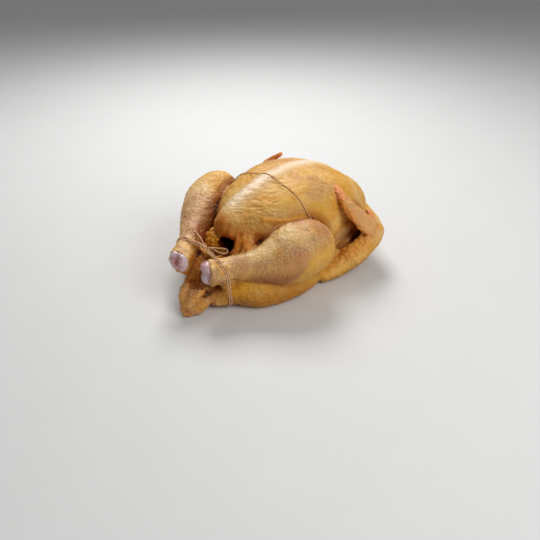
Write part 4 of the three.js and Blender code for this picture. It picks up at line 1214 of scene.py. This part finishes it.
def skin_material():
    s = Shader("raw_skin")
    keel, flush_and_under_shade, crease = s.channels("skin_a")
    fat, tips, orange = s.channels("skin_b")
    raw_flesh_and_shadow, pore_dots_and_glints, net_and_valley_shade = s.channels("skin_c")
    gold, pale, amber_and_shade = s.channels("skin_d")
    shade, tan, _ = s.channels("skin_e")
    colour = s.mix(s.ramp(s.noise(34, 4), 0.35, 0.65), rgb(232, 184, 100), rgb(222, 160, 62))
    for mask, tone in (
        (s.times(s.ramp(s.noise(9, 4), 0.4, 0.7), 0.35), (240, 206, 134)),
        (gold, (222, 162, 38)),
        # Pale skin, with a painted highlight on the drumsticks' tops.
        (pale, (236, 202, 148)),
        # Pale keel band with a painted highlight on it.
        (keel, (250, 228, 200)),
        # Mauve flush, partly painted shade on the left drumstick's underside.
        (s.times(flush_and_under_shade, s.ramp(s.noise(12, 4), 0.3, 0.6, 0.7, 1)), (180, 118, 84)),
        (tan, (218, 168, 120)),
        (orange, (240, 164, 60)),
        (tips, (240, 156, 98)),
        (fat, (236, 170, 40)),
        # Amber skin colour, plus painted shade on the breast and between fat lobes.
        (amber_and_shade, (194, 104, 12)),
    ):
        colour = s.mix(mask, colour, rgb(*tone))
    # Painted crease shade: amber, deepening to dark brown in the deepest creases.
    dark = s.mix(s.ramp(crease, 0.6, 1), rgb(190, 102, 14), rgb(108, 46, 6))
    colour = s.mix(crease, colour, dark)
    colour = s.mix(shade, colour, rgb(190, 152, 88), "MULTIPLY")
    # Darker net between pores, plus painted shade in grain creases and wrinkle valleys.
    colour = s.mix(s.times(net_and_valley_shade, 0.32), colour, rgb(160, 100, 44))
    # Pale pores with painted highlights, strongest on skin that faces up.
    colour = s.mix(s.times(pore_dots_and_glints, 0.42), colour, rgb(252, 224, 168))
    # Raw flesh red darkened by painted shadow in the opening, the pit and the wing fold.
    colour = s.mix(raw_flesh_and_shadow, colour, s.mix(s.noise(6, 3), rgb(36, 8, 4), rgb(112, 36, 14)))
    speckle = s.ramp(s.noise(1.4, 2), 0.3, 0.7, 0.9, 1.08)
    grey = s.node("ShaderNodeCombineXYZ", inputs={0: speckle, 1: speckle, 2: speckle})
    colour = s.mix(1.0, colour, grey, "MULTIPLY")
    grain = s.bump(s.noise(1.1, 3), 0.3, 0.6)
    grain = s.bump(s.spots(2.3, "SMOOTH_F1"), 0.45, 0.5, grain)
    grain = s.bump(s.noise(3.2, 2, (0.6, 0.6, 1.4)), 0.7, 0.6, grain)
    dull = s.node("ShaderNodeMath", inputs={0: amber_and_shade, 1: raw_flesh_and_shadow}, operation="MAXIMUM")
    s.set(Base_Color=colour, Roughness=s.ramp(s.noise(8, 3), 0.3, 0.7, 0.44, 0.6), Normal=grain,
          Subsurface_Weight=0.22, Subsurface_Scale=3 * MM, Subsurface_Radius=(1.0, 0.5, 0.25),
          Specular_IOR_Level=s.ramp(dull, 0, 1, 0.28, 0.1),
          Coat_Weight=s.ramp(dull, 0, 1, 0.06, 0), Coat_Roughness=0.25)
    return s.material


def gristle_material():
    s = Shader("gristle")
    red, ridge, _ = s.channels("bone_a")
    colour = s.mix(s.ramp(s.noise(3, 3), 0.35, 0.65), rgb(216, 192, 196), rgb(178, 140, 142))
    colour = s.mix(s.times(ridge, 0.35), colour, rgb(232, 220, 226))
    colour = s.mix(s.times(red, s.ramp(s.noise(1.6, 3), 0.3, 0.6, 0.8, 1)), colour, rgb(184, 76, 56))
    s.set(Base_Color=colour, Roughness=0.34, Normal=s.bump(s.noise(1.2, 3), 0.15, 0.4),
          Subsurface_Weight=0.15, Subsurface_Scale=1.5 * MM, Subsurface_Radius=(0.9, 0.6, 0.6),
          Coat_Weight=0.25, Coat_Roughness=0.16)
    return s.material


def twine_material(name, pale, dark):
    s = Shader(name)
    colour = s.mix(s.ramp(s.noise(2.2, 3), 0.35, 0.65), pale, dark)
    lines = s.noise(0.35, 2)
    colour = s.mix(s.times(s.ramp(lines, 0.45, 0.65), 0.35), colour, dark)
    s.set(Base_Color=colour, Roughness=0.85, Normal=s.bump(lines, 0.12, 0.8),
          Sheen_Weight=0.1, Sheen_Roughness=0.5, Specular_IOR_Level=0.2)
    return s.material


# ---- pieces
def to_part(p):
    """From the bird's millimetres to the part's own frame in metres."""
    return (np.asarray(p, float) - ORIGIN) * MM


def add_piece(name, points, faces, material, slot, nodes, attributes=None):
    mesh = bpy.data.meshes.new(name)
    mesh.from_pydata(to_part(points).tolist(), [], [tuple(map(int, f)) for f in faces])
    mesh.polygons.foreach_set("use_smooth", [True] * len(mesh.polygons))
    for key, values in (attributes or {}).items():
        attribute = mesh.attributes.new(key, "FLOAT_VECTOR", "POINT")
        attribute.data.foreach_set("vector", np.clip(values, 0, 1).astype(F).ravel())
    mesh.materials.append(material)
    piece = add_object(name, mesh)
    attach(piece, "root")
    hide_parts(*nodes)
    return piece


def gather_parts(parts):
    """Many small meshes as one list of points and faces."""
    points, faces, start = [], [], 0
    for some, its in parts:
        points.append(some)
        faces += [tuple(v + start for v in face) for face in its]
        start += len(some)
    return np.vstack(points), faces


def make_skin(flesh, strings):
    points, quads = subdivided(*surface(flesh, *SKIN_BOX, BODY_VOXEL))
    d, g = gradient(flesh, points)
    p = pulled(points, d, g)
    n = unit(g).astype(F)
    r = regions(p, n, flesh)
    pores = pore_map(p, r)
    folds, valley_shade = wrinkles(p, r)
    h = relief(p, n, r, pores, folds, near_line(p, strings, STRING_REACH))
    lifted = p + h[:, None] * n
    for side in (LEFT, RIGHT):
        ragged = bell(in_parts(ankle_mouth(side), p) - 1, 3.0) * r.leg * (0.7 + 2.8 * noise(p, 8, 40))
        lifted = lifted + ragged[:, None] * np.array(BONE_PLACES[side][1])
    lifted[:, 2] = np.maximum(lifted[:, 2], ORIGIN[2])
    colours = skin_colours(p, n, r, pores, valley_shade)
    return add_piece("raw_skin", lifted, quads, skin_material(), "skin", ["chicken"], colours)


def make_bone_end(side, material):
    field = bone_end(side)
    at, out, across = bone_frame(side)
    points, quads = surface(field, at - BONE_REACH, at + BONE_REACH, BONE_VOXEL)
    p = settle(field, points)
    n = unit(gradient(field, p)[1])
    q = p - at
    a, b, c = q @ across, q @ out, q[:, 2]
    if side == LEFT:
        name = "left_bone_end"
        slit = bell(b + 3, 3) * bell(c + 4, 4) * step(1, 5, a)
        red = most(slit, 0.33 * step(-2, 5, c))
    else:
        name = "right_bone_end"
        slit = bell(a - 2.6, 3) * bell(c - 2, 4.5) * step(1, 4, b)
        red = bell(a - 3, 6) * bell(c - 1, 7) * step(0, 3, b)
    ridge = step(0.3, 0.9, noise(p, 6, 33) + 0.5) * (1 - red)
    h = 0.8 * noise(p, 4.5, 31) + 0.3 * noise(p, 2, 32) - 1.4 * slit
    colours = {"bone_a": np.stack([red, ridge, 0 * a], -1)}
    lifted = p + h[:, None] * n
    return add_piece("gristle_" + name, lifted, quads, material, "gristle", [name], colours)


def make_twine(name, paths, material, slot, node):
    parts = []
    for path, closed in paths:
        parts += twisted(path, closed, STRING_RADIUS)
        parts += fibres(path, STRING_RADIUS, int(HAIRS_PER_STEP * len(path)))
    return add_piece(name, *gather_parts(parts), material, slot, [node])


# ---- stage
def add_camera():
    camera = bpy.data.cameras.new("camera")
    camera.lens, camera.sensor_width, camera.clip_start = CAMERA_LENS, SENSOR, CAMERA_NEAR
    bpy.context.scene.camera = add_object("camera", camera, to_part(CAMERA_AT), CAMERA_LOOK)


def add_floor():
    shader = Shader("pale_floor")
    tone = shader.mix(shader.noise(60, 2), rgb(222, 222, 221), rgb(226, 226, 225))
    shader.set(Base_Color=tone, Roughness=0.7)
    bpy.ops.mesh.primitive_plane_add(size=FLOOR_SIZE)
    floor = bpy.context.object
    floor.name = "floor"
    floor.data.materials.append(shader.material)


def add_lights():
    world = bpy.data.worlds.new("studio")
    world.use_nodes = True
    background = world.node_tree.nodes["Background"]
    background.inputs["Color"].default_value = (1, 1, 1, 1)
    background.inputs["Strength"].default_value = WORLD_LIGHT
    bpy.context.scene.world = world
    bpy.context.scene.view_settings.view_transform = "Standard"
    for name, at, size, power in LIGHTS:
        light = bpy.data.lights.new(name, "AREA")
        light.energy, light.size = power, size
        add_object(name, light, at, Vector(LIGHT_AIM) - Vector(at))


# ---- the whole scene
add_camera()
add_floor()
add_lights()

flesh = bird()
leg_tie = leg_tie_paths(flesh)
breast_tie = breast_tie_path(torso())
all_strings = np.vstack([path for path, _ in leg_tie] + [breast_tie])
make_skin(flesh, all_strings)

gristle = gristle_material()
for side in (LEFT, RIGHT):
    make_bone_end(side, gristle)

pale_twine = twine_material("pale_twine", rgb(242, 204, 160), rgb(200, 150, 106))
brown_twine = twine_material("brown_twine", rgb(240, 196, 146), rgb(206, 154, 106))
make_twine("leg_twine", leg_tie + knot_paths(), pale_twine, "pale_twine", "leg_tie")
make_twine("breast_twine", [(breast_tie, True)], brown_twine, "brown_twine", "breast_tie")

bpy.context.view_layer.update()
